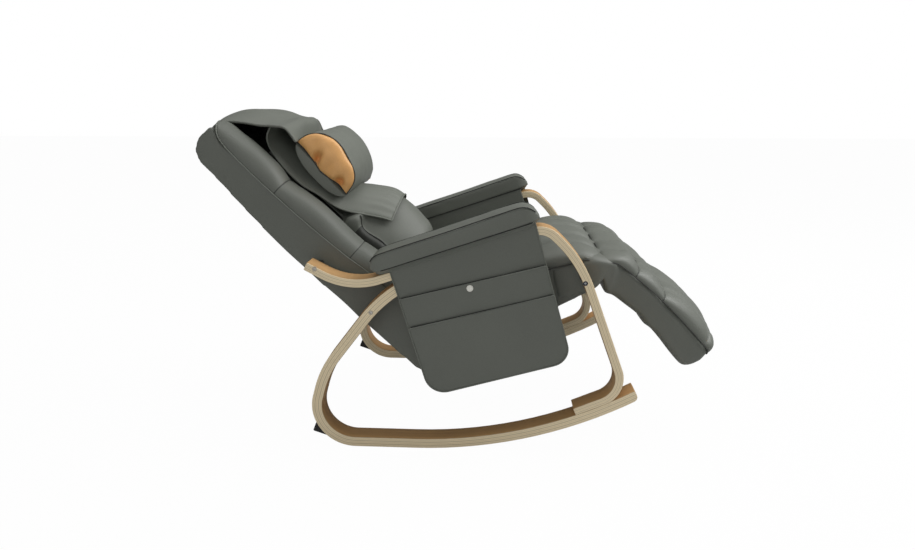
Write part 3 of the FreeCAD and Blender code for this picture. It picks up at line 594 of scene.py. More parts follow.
class Curve:
    """Smooth curve through (place, value) stations; values are numbers or vectors."""

    def __init__(self, stations):
        self.places, self.values = zip(*stations)

    def slope(self, k):
        low, high = max(0, k - 1), min(len(self.places) - 1, k + 1)
        return (self.values[high] - self.values[low]) * (1 / (self.places[high] - self.places[low]))

    def __call__(self, x):
        if x <= self.places[0]:
            return self.values[0]
        if x >= self.places[-1]:
            return self.values[-1]
        i = bisect(self.places, x) - 1
        gap = self.places[i + 1] - self.places[i]
        f = (x - self.places[i]) / gap
        return (self.values[i] * (2 * f ** 3 - 3 * f ** 2 + 1) + self.slope(i) * (gap * (f ** 3 - 2 * f ** 2 + f))
                + self.values[i + 1] * (3 * f ** 2 - 2 * f ** 3) + self.slope(i + 1) * (gap * (f ** 3 - f ** 2)))


def in_mm(*stations, unit=1000):
    """Curve of lengths, or of side-view points, in millimetres; its places are too, unless their unit is 1."""
    return Curve([(place / unit, value[0] / 1000 if len(value) == 1 else Vector([part / 1000 for part in value]))
                  for place, *value in stations])


def framed(*stations):
    """Curve of side-view points by place, in millimetres; a frame holds for the stations after it."""
    spots = []
    for station in stations:
        if isinstance(station, Plane):
            plane = station
        else:
            place, run, rise = station
            spots.append((place, plane.at(run / 1000, 0, rise / 1000).xz))
    return Curve(spots)


def spaced(start, end, count):
    return [start + (end - start) * i / (count - 1) for i in range(count)]


def grid_block(along, across, high):
    """A cube from -1 to 1 with its sides cut into a grid."""
    bm = bmesh.new()
    ops.create_cube(bm, size=2.0)
    for axis, count in enumerate((along, across, high)):
        edges = [e for e in bm.edges if abs(e.verts[0].co[axis] - e.verts[1].co[axis]) > 1.0]
        ops.subdivide_edges(bm, edges=edges, cuts=count - 1, use_grid_fill=True)
    return bm


def rounded(b, c, power):
    """Moves a point of the square onto a rounded square; 2 makes a circle, more a boxier form."""
    reach = max(abs(b), abs(c))
    if reach < 1e-6:
        return 0.0, 0.0
    size = (abs(b / reach) ** power + abs(c / reach) ** power) ** (-1.0 / power)
    return b * size, c * size


def channel(a, stops):
    """Run along sewn channels and the fullness there: 0 on a seam, 1 in the middle."""
    count = len(stops) - 1
    place = (a + 1) / 2 * count
    i = min(int(place + 1e-6), count - 1)
    share = (1 - cos(pi * (place - i))) / 2
    return stops[i] + (stops[i + 1] - stops[i]) * share, max(0.0, sin(pi * share)) ** 0.5


def bell(x, middle, width):
    return exp(-((x - middle) / width) ** 2)


def formed(shape, *counts):
    """Moves a grid block onto a shape, and keeps how firmly each point is held."""
    bm = grid_block(*counts)
    held = bm.verts.layers.float.new("held")
    for vert in bm.verts:
        vert.co, vert[held] = shape(*vert.co)
    merged(bm, 1e-5)
    return bm


def seam_shade_faces(bm):
    """Gives the narrow faces along the sewn lines the second finish, a dark leather: painted shade in the seam
    creases.
    """
    held = bm.verts.layers.float["held"]
    for face in bm.faces:
        if any(vert[held] == SEWN for vert in face.verts):
            face.material_index = 1
    return bm


CLOTH = {"vertex_group_mass": "held", "quality": 5, "mass": 0.3, "tension_stiffness": 12,
         "compression_stiffness": 12, "bending_stiffness": 0.8, "use_pressure": True, "uniform_pressure_force": 4.0}
CLOTH_FRAMES = 20


def swollen(piece, cap):
    """Swells a pad by a short cloth run that holds its seams, and limits the swelling."""
    group = piece.vertex_groups.new(name="held")
    for i, item in enumerate(piece.data.attributes["held"].data):
        if item.value > 0.01:
            group.add([i], min(1.0, item.value), "REPLACE")
    cloth = piece.modifiers.new("swell", "CLOTH")
    for key, value in CLOTH.items():
        setattr(cloth.settings, key, value)
    cloth.settings.effector_weights.gravity = 0.0
    cloth.collision_settings.use_collision = False
    scene = bpy.context.scene
    for number in range(1, CLOTH_FRAMES + 1):
        scene.frame_set(number)
    spots = [vert.co.copy() for vert in evaluated(piece).data.vertices]
    piece.modifiers.clear()
    piece.vertex_groups.clear()
    for vert, spot in zip(piece.data.vertices, spots):
        step = spot - vert.co
        if step.length > cap:
            step *= cap / step.length
        vert.co += step
    scene.frame_set(1)


def rumpled(piece, amount, scale, seed):
    """Slight unevenness of a stuffed cover."""
    for vert in piece.data.vertices:
        vert.co += vert.normal * amount * noise.noise(vert.co * scale + Vector((seed, 0, 0)))


def refined(piece):
    """One subdivision of the finished form."""
    smooth = piece.modifiers.new("refine", "SUBSURF")
    smooth.levels = smooth.render_levels = 1
    settled(piece)


def stuffed(bm, name, finishes, cap, rumple, fill, *nodes, body="chair", slot="grey_padding", sharp=0):
    """A pad that is swelled up to a cap, rumpled, refined and put in place."""
    piece = hang(bm, name, finishes, None, slot, sharp)
    if cap:
        swollen(piece, cap)
    rumpled(piece, *rumple)
    refined(piece)
    padding(piece, fill, *nodes, body=body)
    return piece


# Back

BOLSTER_SEAMS = (-0.086, 0.069, 0.318, 0.541)
BOLSTER_MID, BOLSTER_TIP = 0.2185, 0.5      # middle across the chair; run from which the roll is round
BOLSTER_CROWN = in_mm((-86, 40), (0, 44), (69, 40), (120, 37), (210, 40), (270, 36), (318, 34), (360, 42),
    (400, 44), (442, 44), (481, 42.5), (506, 41), (528, 38), (541, 34))
BOLSTER_HALF = in_mm((-90, 54), (495, 54), (512, 53.7), (522.6, 51), (531, 42), (537, 26), (541, 4))
WELT = in_mm((-90, 1), (0, 0), (85, -7), (231, -10), (363, -7), (470, 1), (500, 7.5), (514, 14), (522.6, 21),
    (531, 28), (537, 31), (541, 32))


def bolster_shape(side):
    """Side roll: rises from the welt outside, and from the mesh inside; its upper tip is round."""
    def shape(a, b, c):
        run, full = channel(a, BOLSTER_SEAMS)
        y, n = rounded(b, c, 2.1)
        drawn = (1 - full) * (run < BOLSTER_TIP)
        foot = WELT(run) * max(0.0, y)
        crown = BOLSTER_CROWN(run) - 0.007 * drawn
        rise = foot + ((crown - foot) * n if n > 0 else 0.004 * n)
        across = BOLSTER_MID + BOLSTER_HALF(run) * y * (1 - 0.03 * drawn)
        hold = PINNED if c < -0.7 or run > 0.538 else FREE
        if full < 0.02 and c > -0.9 and run < BOLSTER_TIP:
            hold = SEWN
        return BACK.at(run, side * across, rise), hold
    return shape


LUMBAR_CROWN = in_mm((-95, 60), (-85, 98), (-54, 137), (-7, 150), (50, 153), (80, 150), (105, 143), (140, 118),
    (165, 84), (300, 45), (420, 36))
LUMBAR_EDGE = in_mm((-95, 38), (30, 52), (85, 44), (105, 50), (122, 67), (135, 62), (147, 46), (165, 32),
    (420, 28))
LUMBAR_HALF = in_mm((-95, 152), (-50, 159), (100, 160), (135, 163), (147, 158), (160, 130), (420, 122))
LUMBAR_BEND = 0.906      # share of the half width at which the pad turns down to its side
LUMBAR_BASE, LUMBAR_START, LUMBAR_LONG = 0.022, -0.095, 0.515
LUMBAR_WALL_SHADE = 0.105    # run up to which the side wall takes the dark seam finish, painted shade in the gap beside the rolls


def lumbar_shape(a, b, c):
    """Loose pad in the hollow of the back: domed, with a lifted corner, thinner under the head sheet."""
    run = LUMBAR_START + LUMBAR_LONG * (a + 1) / 2
    y, n = rounded(b, c, 7.0)
    edge, crown = LUMBAR_EDGE(run), LUMBAR_CROWN(run)
    top = edge + (crown - edge) * (1 - min(1.0, abs(y) / LUMBAR_BEND) ** 2.0)
    rise = LUMBAR_BASE + ((top - LUMBAR_BASE) * n if n > 0 else 0.001 * n)
    hold = GUSSET if abs(b) > 0.999 else PINNED if c < 0 else FREE
    return BACK.at(run, LUMBAR_HALF(run) * y, rise), hold


HOOD_MID = in_mm((0, 560, -45), (0.12, 578, 5), (0.22, 566, 36), (0.32, 541, 65), (0.45, 505, 94),
    (0.6, 470, 114), (0.75, 441, 123.5), (0.86, 421, 137), (0.93, 401, 136), (1, 372, 108), unit=1)
HOOD_EDGE = in_mm((0, 540, -45), (0.12, 550, -4), (0.22, 544, 19), (0.32, 528, 37), (0.45, 500, 59.5),
    (0.6, 465, 82), (0.75, 434, 107), (0.87, 409, 121), (1, 368, 113), unit=1)
HOOD_HALF = 0.200


def hood_spot(s, t):
    """Padded flap over the head end, domed, falling to its sides; its front edge stands before the pillow."""
    middle, side = HOOD_MID(s), HOOD_EDGE(s)
    u, n = middle + (side - middle) * abs(t) ** 2.2
    slack = 0.0014 * sin(7.0 * t + 12.0 * s) * (1 - t ** 4)
    back = max(0.0, t) ** 1.5 * s ** 3
    return BACK.at(u + 0.032 * back, HOOD_HALF * t, n + slack - 0.014 * back)


APRON_CREST = in_mm((45, 160), (70, 159), (110, 151), (160, 119), (200, 92), (300, 80), (370, 84), (420, 92),
    (450, 98))
APRON_EDGE = in_mm((45, 107), (70, 98), (100, 83), (125, 69), (160, 51), (190, 42), (242, 37.6), (292, 29),
    (352, 32.7), (408, 46.5), (434, 62), (443, 78), (448, 100))
APRON_HALF = in_mm((45, 116), (125, 140), (190, 160), (300, 172), (450, 176))
APRON_TOP, APRON_HEM = 0.448, 0.074


def apron_spot(s, t):
    """Lower sheet that hangs from the hood over the middle of the back to a loose hem."""
    u = APRON_TOP - (APRON_TOP - APRON_HEM + 0.022 * t * t) * s
    crest, edge = APRON_CREST(u), APRON_EDGE(u)
    crease = 0.0016 * sin(38.0 * t) * bell(u, 0.09, 0.05)
    return BACK.at(u, APRON_HALF(u) * t, crest + (edge - crest) * abs(t) ** 2.2 + crease)


def thickened(bm, thick):
    ops.recalc_face_normals(bm, faces=bm.faces)
    ops.solidify(bm, geom=bm.faces[:], thickness=thick)
    ops.recalc_face_normals(bm, faces=bm.faces)


def sheet_piece(name, spot, rows, thick):
    """A sheet formed from a grid, with its thickness and soft edges."""
    bm = bmesh.new()
    ops.create_grid(bm, x_segments=rows, y_segments=40, size=1.0)
    for vert in bm.verts:
        vert.co = spot((vert.co.x + 1) / 2, vert.co.y)
    thickened(bm, thick)
    # head: lighter copy of the cover leather, painted light
    piece = hang(bm, name, ["head"], None, "grey_cover")
    refined(piece)
    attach(piece, "chair")
    return piece


def spread(spot, rows=60, columns=30):
    """Flat area, middle width and middle length of a sheet."""
    def point(i, k):
        return spot(i / rows, 2 * k / columns - 1)
    area = 0.0
    for i in range(rows):
        for k in range(columns):
            here = point(i, k)
            area += (point(i + 1, k) - here).cross(point(i, k + 1) - here).length
    length = sum((point(i + 1, columns // 2) - point(i, columns // 2)).length for i in range(rows))
    return area, area / length, length


def side_edges(name, spot, start, count, radius, finish):
    """Round edges along both sides of a sheet."""
    return [tube_along([spot(s, side) for s in spaced(start, 1.0, count)], radius, f"{name}_edge_{i}", finish,
                       "grey_cover") for i, side in enumerate((-1, 1))]


PILLOW_MID, PILLOW_REACH, PILLOW_END = 0.281, 0.0925, 0.158
PILLOW_ROUND = 2.2
PILLOW_NEAR = in_mm((-1, 88), (-0.97, 116), (-0.89, 136), (-0.73, 151), (-0.46, 163), (-0.08, 176), (0.22, 179),
    (0.54, 171), (0.76, 156), (0.93, 134), (1, 106), unit=1)
PILLOW_FAR = in_mm((-1, 94), (-0.85, 125), (-0.43, 155), (0.12, 171), (0.71, 166), (0.93, 149), (1, 128),
    unit=1)
TAN_LOWER = in_mm((-1, 86), (-0.66, 92), (-0.4, 89), (-0.04, 86), (0.2, 92), (0.44, 98), (0.66, 102), (1, 106),
    unit=1)
# Place along the pillow, share of the height and depth of each gather in a tan end
TAN_DENTS = ((0.28, 0.15, 0.032), (-0.62, 0.15, 0.030), (-0.15, 0.30, 0.006), (0.6, 0.5, 0.004))


def pillow_at(u, y, rise):
    return BACK.at(PILLOW_MID + PILLOW_REACH * u, y, rise)


def pillow_top(u, y):
    """Middle and upper outline of the roll; the end that was pressed down lies lower."""
    near, far = PILLOW_NEAR(u), PILLOW_FAR(u)
    return 0.096 + 0.010 * u, near + (far - near) * (y + PILLOW_END) / (2 * PILLOW_END)


def pillow_shape(a, b, c):
    """Head roll across the sheet, hollow at its ends where the tan pads sit."""
    u, n = rounded(b, c, PILLOW_ROUND)
    wide = max(1e-4, 1 - min(1.0, abs(u)) ** PILLOW_ROUND) ** (1 / PILLOW_ROUND)
    fill = min(1.0, abs(n) / wide)
    y = PILLOW_END * sin(a * pi / 2) if abs(a) < 1 else PILLOW_END * a
    if abs(a) > 0.999 and n > 0:
        y *= 1 - 0.14 * (1 - fill ** 2)
    base, top = pillow_top(u, y)
    rise = base + ((top - base) * fill if n > 0 else -0.036 * wide * fill)
    return pillow_at(u, y, rise), PINNED if c < -0.5 or abs(a) > 0.99 else FREE


def tan_edge(a, side):
    """Lower and upper edge of a tan end at a place along the pillow."""
    upper = pillow_top(a, side * PILLOW_END)[1] - 0.002
    return min(TAN_LOWER(a), upper), upper


def tan_shape(side):
    """Lens-shaped end, stuffed, with gathers where it is sewn in."""
    def shape(a, b, c):
        low, high = tan_edge(a, side)
        share = (b + 1) / 2
        full = max(0.0, 1 - a * a) ** 0.5 * max(0.0, 4 * share * (1 - share)) ** 0.5
        dent = sum(deep * bell(a, at, 0.10) * bell(share, up, 0.22) for at, up, deep in TAN_DENTS)
        y = PILLOW_END - dent * min(1.0, 2 * full) + (0.020 * full - 0.002 if c > 0 else -0.012)
        return pillow_at(a, side * y, low + (high - low) * share), PINNED
    return shape


class CHAIR_OT_back_rolls(bpy.types.Operator):
    """Side rolls of the back with their seams and welts"""
    bl_idname = "chair.back_rolls"
    bl_label = "Back rolls"

    def execute(self, context):
        for name, side in SIDES:
            bm = seam_shade_faces(formed(bolster_shape(side), 66, 22, 8))
            # roll: darker copy of the cover leather, painted shade
            stuffed(bm, "back_roll_" + name, ["roll", "seam"], 0.006, (0.0016, 22.0, 3.0), 0.8,
                    "back_bolster_" + name)
        for name, side in SIDES:
            line = [BACK.at(u, side * (BOLSTER_MID + BOLSTER_HALF(u)), WELT(u) - 0.001)
                    for u in spaced(-0.03, 0.49, 40) + spaced(0.495, 0.540, 40)]
            # piping: lighter copy of the cover leather, painted highlight
            tube_along(line, 0.0017, "back_welt_" + name, "piping", "grey_cover")
        return {"FINISHED"}


class CHAIR_OT_lumbar_pad(bpy.types.Operator):
    """Loose pad in the hollow of the back"""
    bl_idname = "chair.lumbar_pad"
    bl_label = "Lumbar pad"

    def execute(self, context):
        bm = formed(lumbar_shape, 80, 40, 8)
        held = bm.verts.layers.float["held"]
        # The front of the side wall takes the dark seam finish: painted shade in the narrow gap between the pad and
        # the rolls.
        for face in bm.faces:
            wall_shade = all(abs(vert[held] - GUSSET) < 1e-4 for vert in face.verts)
            face.material_index = int(wall_shade and BACK.local(face.calc_center_median())[0] < LUMBAR_WALL_SHADE)
        stuffed(bm, "lumbar_cover", ["pad", "seam"], 0.006, (0.003, 16.0, 8.0), 0.6, "lumbar_pad")
        for name, side in SIDES:
            # Dark seam piping along the pad's edge: painted shade under the edge.
            line = [BACK.at(u, side * LUMBAR_HALF(u) * (LUMBAR_BEND + 0.01), LUMBAR_EDGE(u) - 0.002)
                    for u in spaced(-0.09, 0.125, 60)]
            tube_along(line, 0.0015, "lumbar_piping_" + name, "seam", "grey_padding")
        return {"FINISHED"}


class CHAIR_OT_head_sheet(bpy.types.Operator):
    """Flap over the head end and the sheet that hangs from it"""
    bl_idname = "chair.head_sheet"
    bl_label = "Head sheet"

    def execute(self, context):
        hood = sheet_piece("head_flap", hood_spot, 60, 0.005)
        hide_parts("head_sheet")
        area, wide, long = spread(hood_spot)
        edges = side_edges("head_flap", hood_spot, 0.1, 40, 0.003, "flap")
        apron = sheet_piece("back_sheet", apron_spot, 70, 0.004)
        area, wide, long = spread(apron_spot)
        hems = side_edges("back_sheet", apron_spot, 0.0, 60, 0.0028, "piping")
        hem = [apron_spot(1.0, t) for t in spaced(-1, 1, 30)]
        hems.append(tube_along(hem, 0.0028, "back_sheet_hem", "piping", "grey_cover"))
        return {"FINISHED"}


class CHAIR_OT_head_pillow(bpy.types.Operator):
    """Head pillow with tan ends"""
    bl_idname = "chair.head_pillow"
    bl_label = "Head pillow"

    def execute(self, context):
        bm = formed(pillow_shape, 40, 26, 14)
        # head: lighter copy of the cover leather, painted light
        stuffed(bm, "pillow_cover", ["head"], 0.005, (0.0015, 20.0, 5.0), 0.9, "head_pillow")
        for name, side in SIDES:
            bm = formed(tan_shape(side), 40, 20, 2)
            nodes = ["pillow_ends"] if side < 0 else []
            stuffed(bm, "pillow_end_" + name, ["tan"], 0, (0.0020, 45.0, 2.0), 0.8, *nodes, slot="tan_ends")
            for part in (0, 1):
                # Dark seam piping along each tan end's edges: painted shade in the seam.
                line = [pillow_at(a, side * PILLOW_END, tan_edge(a, side)[part]) for a in spaced(-0.998, 0.998, 60)]
                tube_along(line, 0.0016, f"pillow_piping_{name}_{part}", "seam", "tan_ends")
        return {"FINISHED"}


# Seat and leg rest

# Places count the seams: 0 at the back of the seat, 3 at the knee and 7 at the foot end
QUILT_FOOT = framed(SEAT, (0, 55, -6), (1, 200, -11), (2, 345, -14), (2.6, 460, -12.5), (2.8, 490, -11), FLOOR,
    (3, 350, 492), LEG, (3.2, 2, 27), (3.4, 20, 33), (4, 75, 37), (5, 172, 39), (5.5, 260, 34), (6, 338, 27),
    (6.6, 358, 22), (7, 362, 12))
QUILT_CROWN = framed(SEAT, (0, 55, 18), (1, 200, 30), (2, 345, 36), (2.6, 445, 36), FLOOR, (3, 352, 540), LEG,
    (3.2, 4, 66), (3.5, 32, 74), (4, 78, 77), (5, 174, 78), (5.6, 285, 83), (6, 348, 73), (6.5, 376, 52),
    (7, 370, 14))
QUILT_HALF = in_mm((0, 268), (2, 272), (2.7, 273.5), (3, 266), (3.3, 255), (4, 243), (6, 241), (7, 237), unit=1)
QUILT_SEAMS = range(8)
QUILT_DEEP = (0.05, 0.20, 0.22, 0.74, 0.34, 0.46, 0.28, 0.05)
QUILT_FOLDS = (-0.170, -0.062, 0.055, 0.165)
KNEE_SEAM = 3
QUILT_REACH, SKIRT_REACH = 0.055, 0.03      # how far from the hinge the covers bend


def quilt_shape(a, b, c):
    """One quilted pad from the back of the seat over the knee to the foot end."""
    place, full = channel(a, QUILT_SEAMS)
    seam = round(place)
    close = 1 - min(1.0, 2 * abs(place - seam))
    foot, crown = QUILT_FOOT(place), QUILT_CROWN(place)
    y, n = rounded(b, c, 3.2)
    half = QUILT_HALF(place) * (1 - 0.012 * (1 - full))
    fold = sum(bell(half * y, line, 0.020) for line in QUILT_FOLDS)
    drawn = (0.46 if seam == KNEE_SEAM else 0.20) * fold * close ** 0.5 * (0.25 + 0.75 * full)
    pucker = 0.035 * sin(150.0 * half * y + 2.1 * seam) * bell(place, seam, 0.2) * full
    height = (1 - QUILT_DEEP[seam] * (1 - full) - drawn + pucker) * n if n > 0 else 0.15 * n
    gather = 0.0022 * sin(75.0 * place) * exp(-abs(n) / 0.25) * (2.2 < place < 3.4)
    spot = foot + (crown - foot) * height
    hold = PINNED if c < 0.05 else FREE
    if full < 0.02 and c > -0.9 and 0.2 < place < 5.8:
        hold = SEWN
    return Vector((spot.x, half * y + gather * b, spot.y)), hold


# Places run from 0 at the seat's front over 2 at the knee to 8 at the foot end
SKIRT_TOP = framed(SEAT, (0, 400, -4), (1, 480, -3), (1.5, 513, -8), LEG, (2, 2, 33), (3, 35, 43), (5, 172, 45),
    (7, 330, 35), (8, 360, 26))
SKIRT_LOW = framed(SEAT, (0, 400, -112), (1, 475, -103), (1.5, 512, -89), LEG, (1.8, 14, -26), (2.1, 26, -34),
    (2.5, 48, -45), (3.2, 72, -38), (4, 110, -35), (5, 164, -32), (5.3, 186, -39), (5.6, 211, -36),
    (7, 330, -52), (7.5, 350, -45), (8, 364, -12))
SKIRT_HALF = in_mm((0, 270), (0.6, 274), (1.2, 275), (1.6, 272.5), (2, 263), (2.5, 252), (3, 246), (4, 242),
    (7.7, 241), (8, 237), unit=1)


def skirt_shape(a, b, c):
    """Sides and underside of the leg rest, with a fold where the knee bends."""
    place, up = 4 * (a + 1), (c + 1) / 2
    top, low = SKIRT_TOP(place), SKIRT_LOW(place)
    spot = low + (top - low) * up
    fold = 0.004 * bell(place, 1.75, 0.3) * (1 - up)
    slack = 0.0012 * sin(7.0 * place + 5.0 * up) * bell(place, 1.9, 0.6)
    half = SKIRT_HALF(place) - fold + slack + 0.002 * sin(pi * up)
    return Vector((spot.x, rounded(b, c, 9.0)[0] * half, spot.y)), FREE


def knee_blend(piece, reach):
    """Lets a piece bend between the chair and the leg rest, within a reach of the hinge."""
    step = (SEAT.run + LEG.run).normalized() * reach
    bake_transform(piece, "chair", "legrest", tuple(HINGE - step), tuple(HINGE + step))


class CHAIR_OT_seat_quilt(bpy.types.Operator):
    """Quilted pad of the seat and leg rest, and the leg rest's sides"""
    bl_idname = "chair.seat_quilt"
    bl_label = "Seat quilt"

    def execute(self, context):
        bm = seam_shade_faces(formed(quilt_shape, 112, 52, 6))
        quilt = stuffed(bm, "seat_quilt", ["pad", "seam"], 0.008, (0.0025, 17.0, 11.0), 0.8, "seat_cushion",
                        "legrest_cushion", body=None)
        knee_blend(quilt, QUILT_REACH)
        skirt = stuffed(formed(skirt_shape, 70, 24, 12), "legrest_skirt", ["side"], 0, (0.0015, 15.0, 4.0), 0.6,
                        "legrest_shell", body=None, sharp=50)
        knee_blend(skirt, SKIRT_REACH)
        for name, side in SIDES:
            # The welt is a dark seam tube: painted shade along the quilt's foot.
            line = []
            for place in spaced(0.3, 6.9, 90):
                foot = QUILT_FOOT(place)
                line.append((foot.x, side * (QUILT_HALF(place) + 0.0005), foot.y))
            welt = tube_along(line, 0.0015, "seat_welt_" + name, "seam", "grey_padding", None)
            knee_blend(welt, QUILT_REACH)
        return {"FINISHED"}


# Armrests

ARMREST_TOP = in_mm((-37, 26), (-33, 40), (-20, 52), (0, 56.5), (180, 57.5), (310, 59.5), (350, 59.5),
    (365, 57), (377, 50), (389, 35), (394, 20))
ARMREST_FOOT = in_mm((-37, 22), (-30, 6), (-15, 0), (350, 0), (380, 6), (394, 16))
ARMREST_MID, ARMREST_HALF, ARMREST_START, ARMREST_LONG = 0.3158, 0.0440, -0.037, 0.431
ARMREST_SEAM = 0.0140      # height of the lower seam


def armrest_pinch(run):
    """Narrowing of the pad at its two ends."""
    return 1 - 0.30 * max(0.0, 1 - 4.0 * sin(pi * (run - ARMREST_START) / ARMREST_LONG)) ** 2


def armrest_shape(side):
    """Boxy pad with a flat top, drawn in below where the pocket hangs from it."""
    def shape(a, b, c):
        run = ARMREST_START + ARMREST_LONG * (1 - cos(pi * (a + 1) / 2)) / 2
        low, high = ARMREST_FOOT(run), ARMREST_TOP(run)
        y, n = rounded(b, c, 8.0)
        tuck = 1 - 0.36 * min(1.0, max(0.0, (-n - 0.48) / 0.30))
        across = ARMREST_MID + ARMREST_HALF * y * tuck * armrest_pinch(run)
        rise = (low + high) / 2 + (high - low) / 2 * n
        return ARM.at(run, side * across, rise), PINNED if c < 0.9 else FREE
    return shape


class CHAIR_OT_armrests(bpy.types.Operator):
    """Armrest pads with their top seams"""
    bl_idname = "chair.armrests"
    bl_label = "Armrests"

    def execute(self, context):
        for name, side in SIDES:
            bm = formed(armrest_shape(side), 70, 18, 16)
            stuffed(bm, "armrest_cover_" + name, ["pad"], 0.003, (0.0012, 20.0, 6.0), 0.9, "armrest_pad_" + name)
            for edge in (-1, 1):
                across = [(run, side * (ARMREST_MID + edge * (ARMREST_HALF * armrest_pinch(run) - 0.0012)))
                          for run in spaced(-0.030, 0.388, 90)]
                upper = [ARM.at(run, y, ARMREST_TOP(run) - 0.0016) for run, y in across]
                lower = [ARM.at(run, y, ARMREST_SEAM) for run, y in across[4:-3]]
                # The seam lines are near-black tubes: painted shade in the seam grooves.
                for part, line in (("upper", upper), ("lower", lower)):
                    tube_along(line, 0.0014, f"armrest_{part}_{name}_{edge > 0:d}", "thread", "grey_padding")
        return {"FINISHED"}


# Pockets

POCKET_THICK, BINDING = 0.0022, 0.0016


def pocket_line(height, slope):
    """Corners of a pocket layer below its slanting upper edge, as (x, z, radius)."""
    rear, front, low = (-0.068, 0.486, -73.3), (0.289, 0.595, -73.8), (0.077, 0.170, 16.07)
    upper = (0, height, slope)
    return [(x - MID, z, radius) for (x, z), radius in (
        (meet(*rear, *upper), 0.004), (meet(*front, *upper), 0.004), (meet(*front, *low), 0.045),
        (meet(*rear, *low), 0.050))]


def rounded_outline(corners, steps=10):
    """Points round a closed outline with arcs at its corners."""
    points = []
    for i, (x, z, radius) in enumerate(corners):
        here = Vector((x, z))
        before, after = ((Vector(corners[k % len(corners)][:2]) - here).normalized() for k in (i - 1, i + 1))
        half = before.angle(after) / 2
        middle = here + (before + after).normalized() * (radius / sin(half))
        start, end = (here + way * (radius / tan(half)) - middle for way in (before, after))
        swing = start.angle_signed(end)
        points += [middle + Matrix.Rotation(-swing * k / steps, 2) @ start for k in range(steps + 1)]
    return points


def pocket_sheet(name, outline, across):
    """One flat layer of a pocket, cut into a fine grid so that it can sag."""
    bm = bmesh.new()
    bm.faces.new([bm.verts.new((p.x, 0, p.y)) for p in outline])
    for normal, low, high in (((1, 0, 0), -0.25, 0.32), ((0, 0, 1), 0.12, 0.62)):
        for place in spaced(low, high, 36):
            ops.bisect_plane(bm, geom=bm.verts[:] + bm.edges[:] + bm.faces[:], plane_co=Vector(normal) * place,
                             plane_no=normal)
    for vert in bm.verts:
        vert.co.y = across(vert.co.x, vert.co.z)
    thickened(bm, POCKET_THICK)
    return hang(bm, name, ["flap"], "chair", "pocket_cloth", 45)


class CHAIR_OT_pockets(bpy.types.Operator):
    """Hanging pockets with two open pouches, bound edges and a press stud"""
    bl_idname = "chair.pockets"
    bl_label = "Pockets"

    def execute(self, context):
        arm_at = ARM.origin.z + 0.012 - (ARM.origin.x + MID) * tan(radians(ARM_SLOPE))
        # Height and slope of the upper edge, distance from the middle and gape of each layer
        layers = ((arm_at, ARM_SLOPE, 0.3395, 0.0), (0.4233, 14.5, 0.3425, 0.004), (0.3425, 14.8, 0.3455, 0.005))
        for name, side in SIDES:
            for i, layer in enumerate(layers):
                self.layer(name, side, i, *layer)
            self.stud(name, side)
        return {"FINISHED"}

    def stud(self, name, side):
        """Domed cap of the press stud on the upper pouch."""
        bm = bmesh.new()
        ops.create_uvsphere(bm, u_segments=32, v_segments=16, radius=0.0085)
        ops.scale(bm, verts=bm.verts, vec=(1, 0.36, 1))
        ops.translate(bm, verts=bm.verts, vec=(0.0195, side * 0.3475, 0.4455))
        cap = hang(bm, "pocket_stud_" + name, ["stud"], "chair", "bright_steel")
        if side < 0:
            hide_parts("pocket_studs")

    def layer(self, name, side, i, height, slope, depth, gape):
        """A layer with its bound edge; a pouch also has a near-black line along its opening, a painted shadow of
        the gap there.
        """
        corners = pocket_line(height, slope)
        (x0, z0, _), (x1, z1, _) = corners[:2]
        wide, fall = x1 - x0, z1 - z0

        def sag(x, z):
            share = min(1.0, max(0.0, (x - x0) / wide))
            down = z0 + fall * share - z
            open_edge = gape * sin(pi * share) * exp(-max(0.0, down) / 0.05)
            return open_edge + 0.0030 * noise.noise(Vector((x * 8, z * 6, i * 3.0)))
        outline = rounded_outline(corners)
        piece = pocket_sheet(f"pocket_{name}_{i}", outline, lambda x, z: side * (depth + sag(x, z)))
        border = [(p.x, side * (depth + 0.001 + sag(p.x, p.y)), p.y) for p in outline + outline[:1]]
        # piping: lighter copy of the cover leather, painted highlight
        tube_along(border, BINDING, f"pocket_edge_{name}_{i}", "piping", "pocket_cloth")
        if i:
            # Painted shadow: a near-black line just below the opening's edge.
            mouth_shadow = [(x, side * (depth + 0.0005), z0 + fall * (x - x0) / wide + 0.0018
                      + 0.0022 * noise.noise(Vector((x * 14, i * 5.0, side))))
                     for x in spaced(x0 + 0.006, x1 - 0.006, 60)]
            tube_along(mouth_shadow, 0.0015, f"pocket_mouth_{name}_{i}", "thread", "pocket_cloth")
        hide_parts("pocket_panel_" + name if i == 0 else "pocket_pouches_" + name)
        flat = sum(face.area for face in piece.data.polygons) / 2
        abs(wide) / cos(radians(slope))
        flat / abs(wide)
        "arm_" + name


class CHAIR_OT_covers(bpy.types.Operator):
    """Side panels, rear cover and inner arm panels"""
    bl_idname = "chair.covers"
    bl_label = "Covers"

    def execute(self, context):
        for name, _ in SIDES:
            for node in ("back_side_", "seat_side_"):
                rumpled(soft_copy(node + name, "side", "grey_cover", 0.005, 5), 0.0018, 11.0, 2.0)
        soft_copy("rear_cover", "side", "grey_cover", 0.003, 1)
        panels = soft_copy("inner_panels", "flap", "pocket_cloth", 0.002, 0)
        lift, drop = 0.013, 0.118      # the panels' upper edge goes up under the armrest, their foot stays
        for vert in panels.data.vertices:
            vert.co += ARM.rise * lift * max(0.0, 1 + ARM.local(vert.co)[2] / drop)
        return {"FINISHED"}


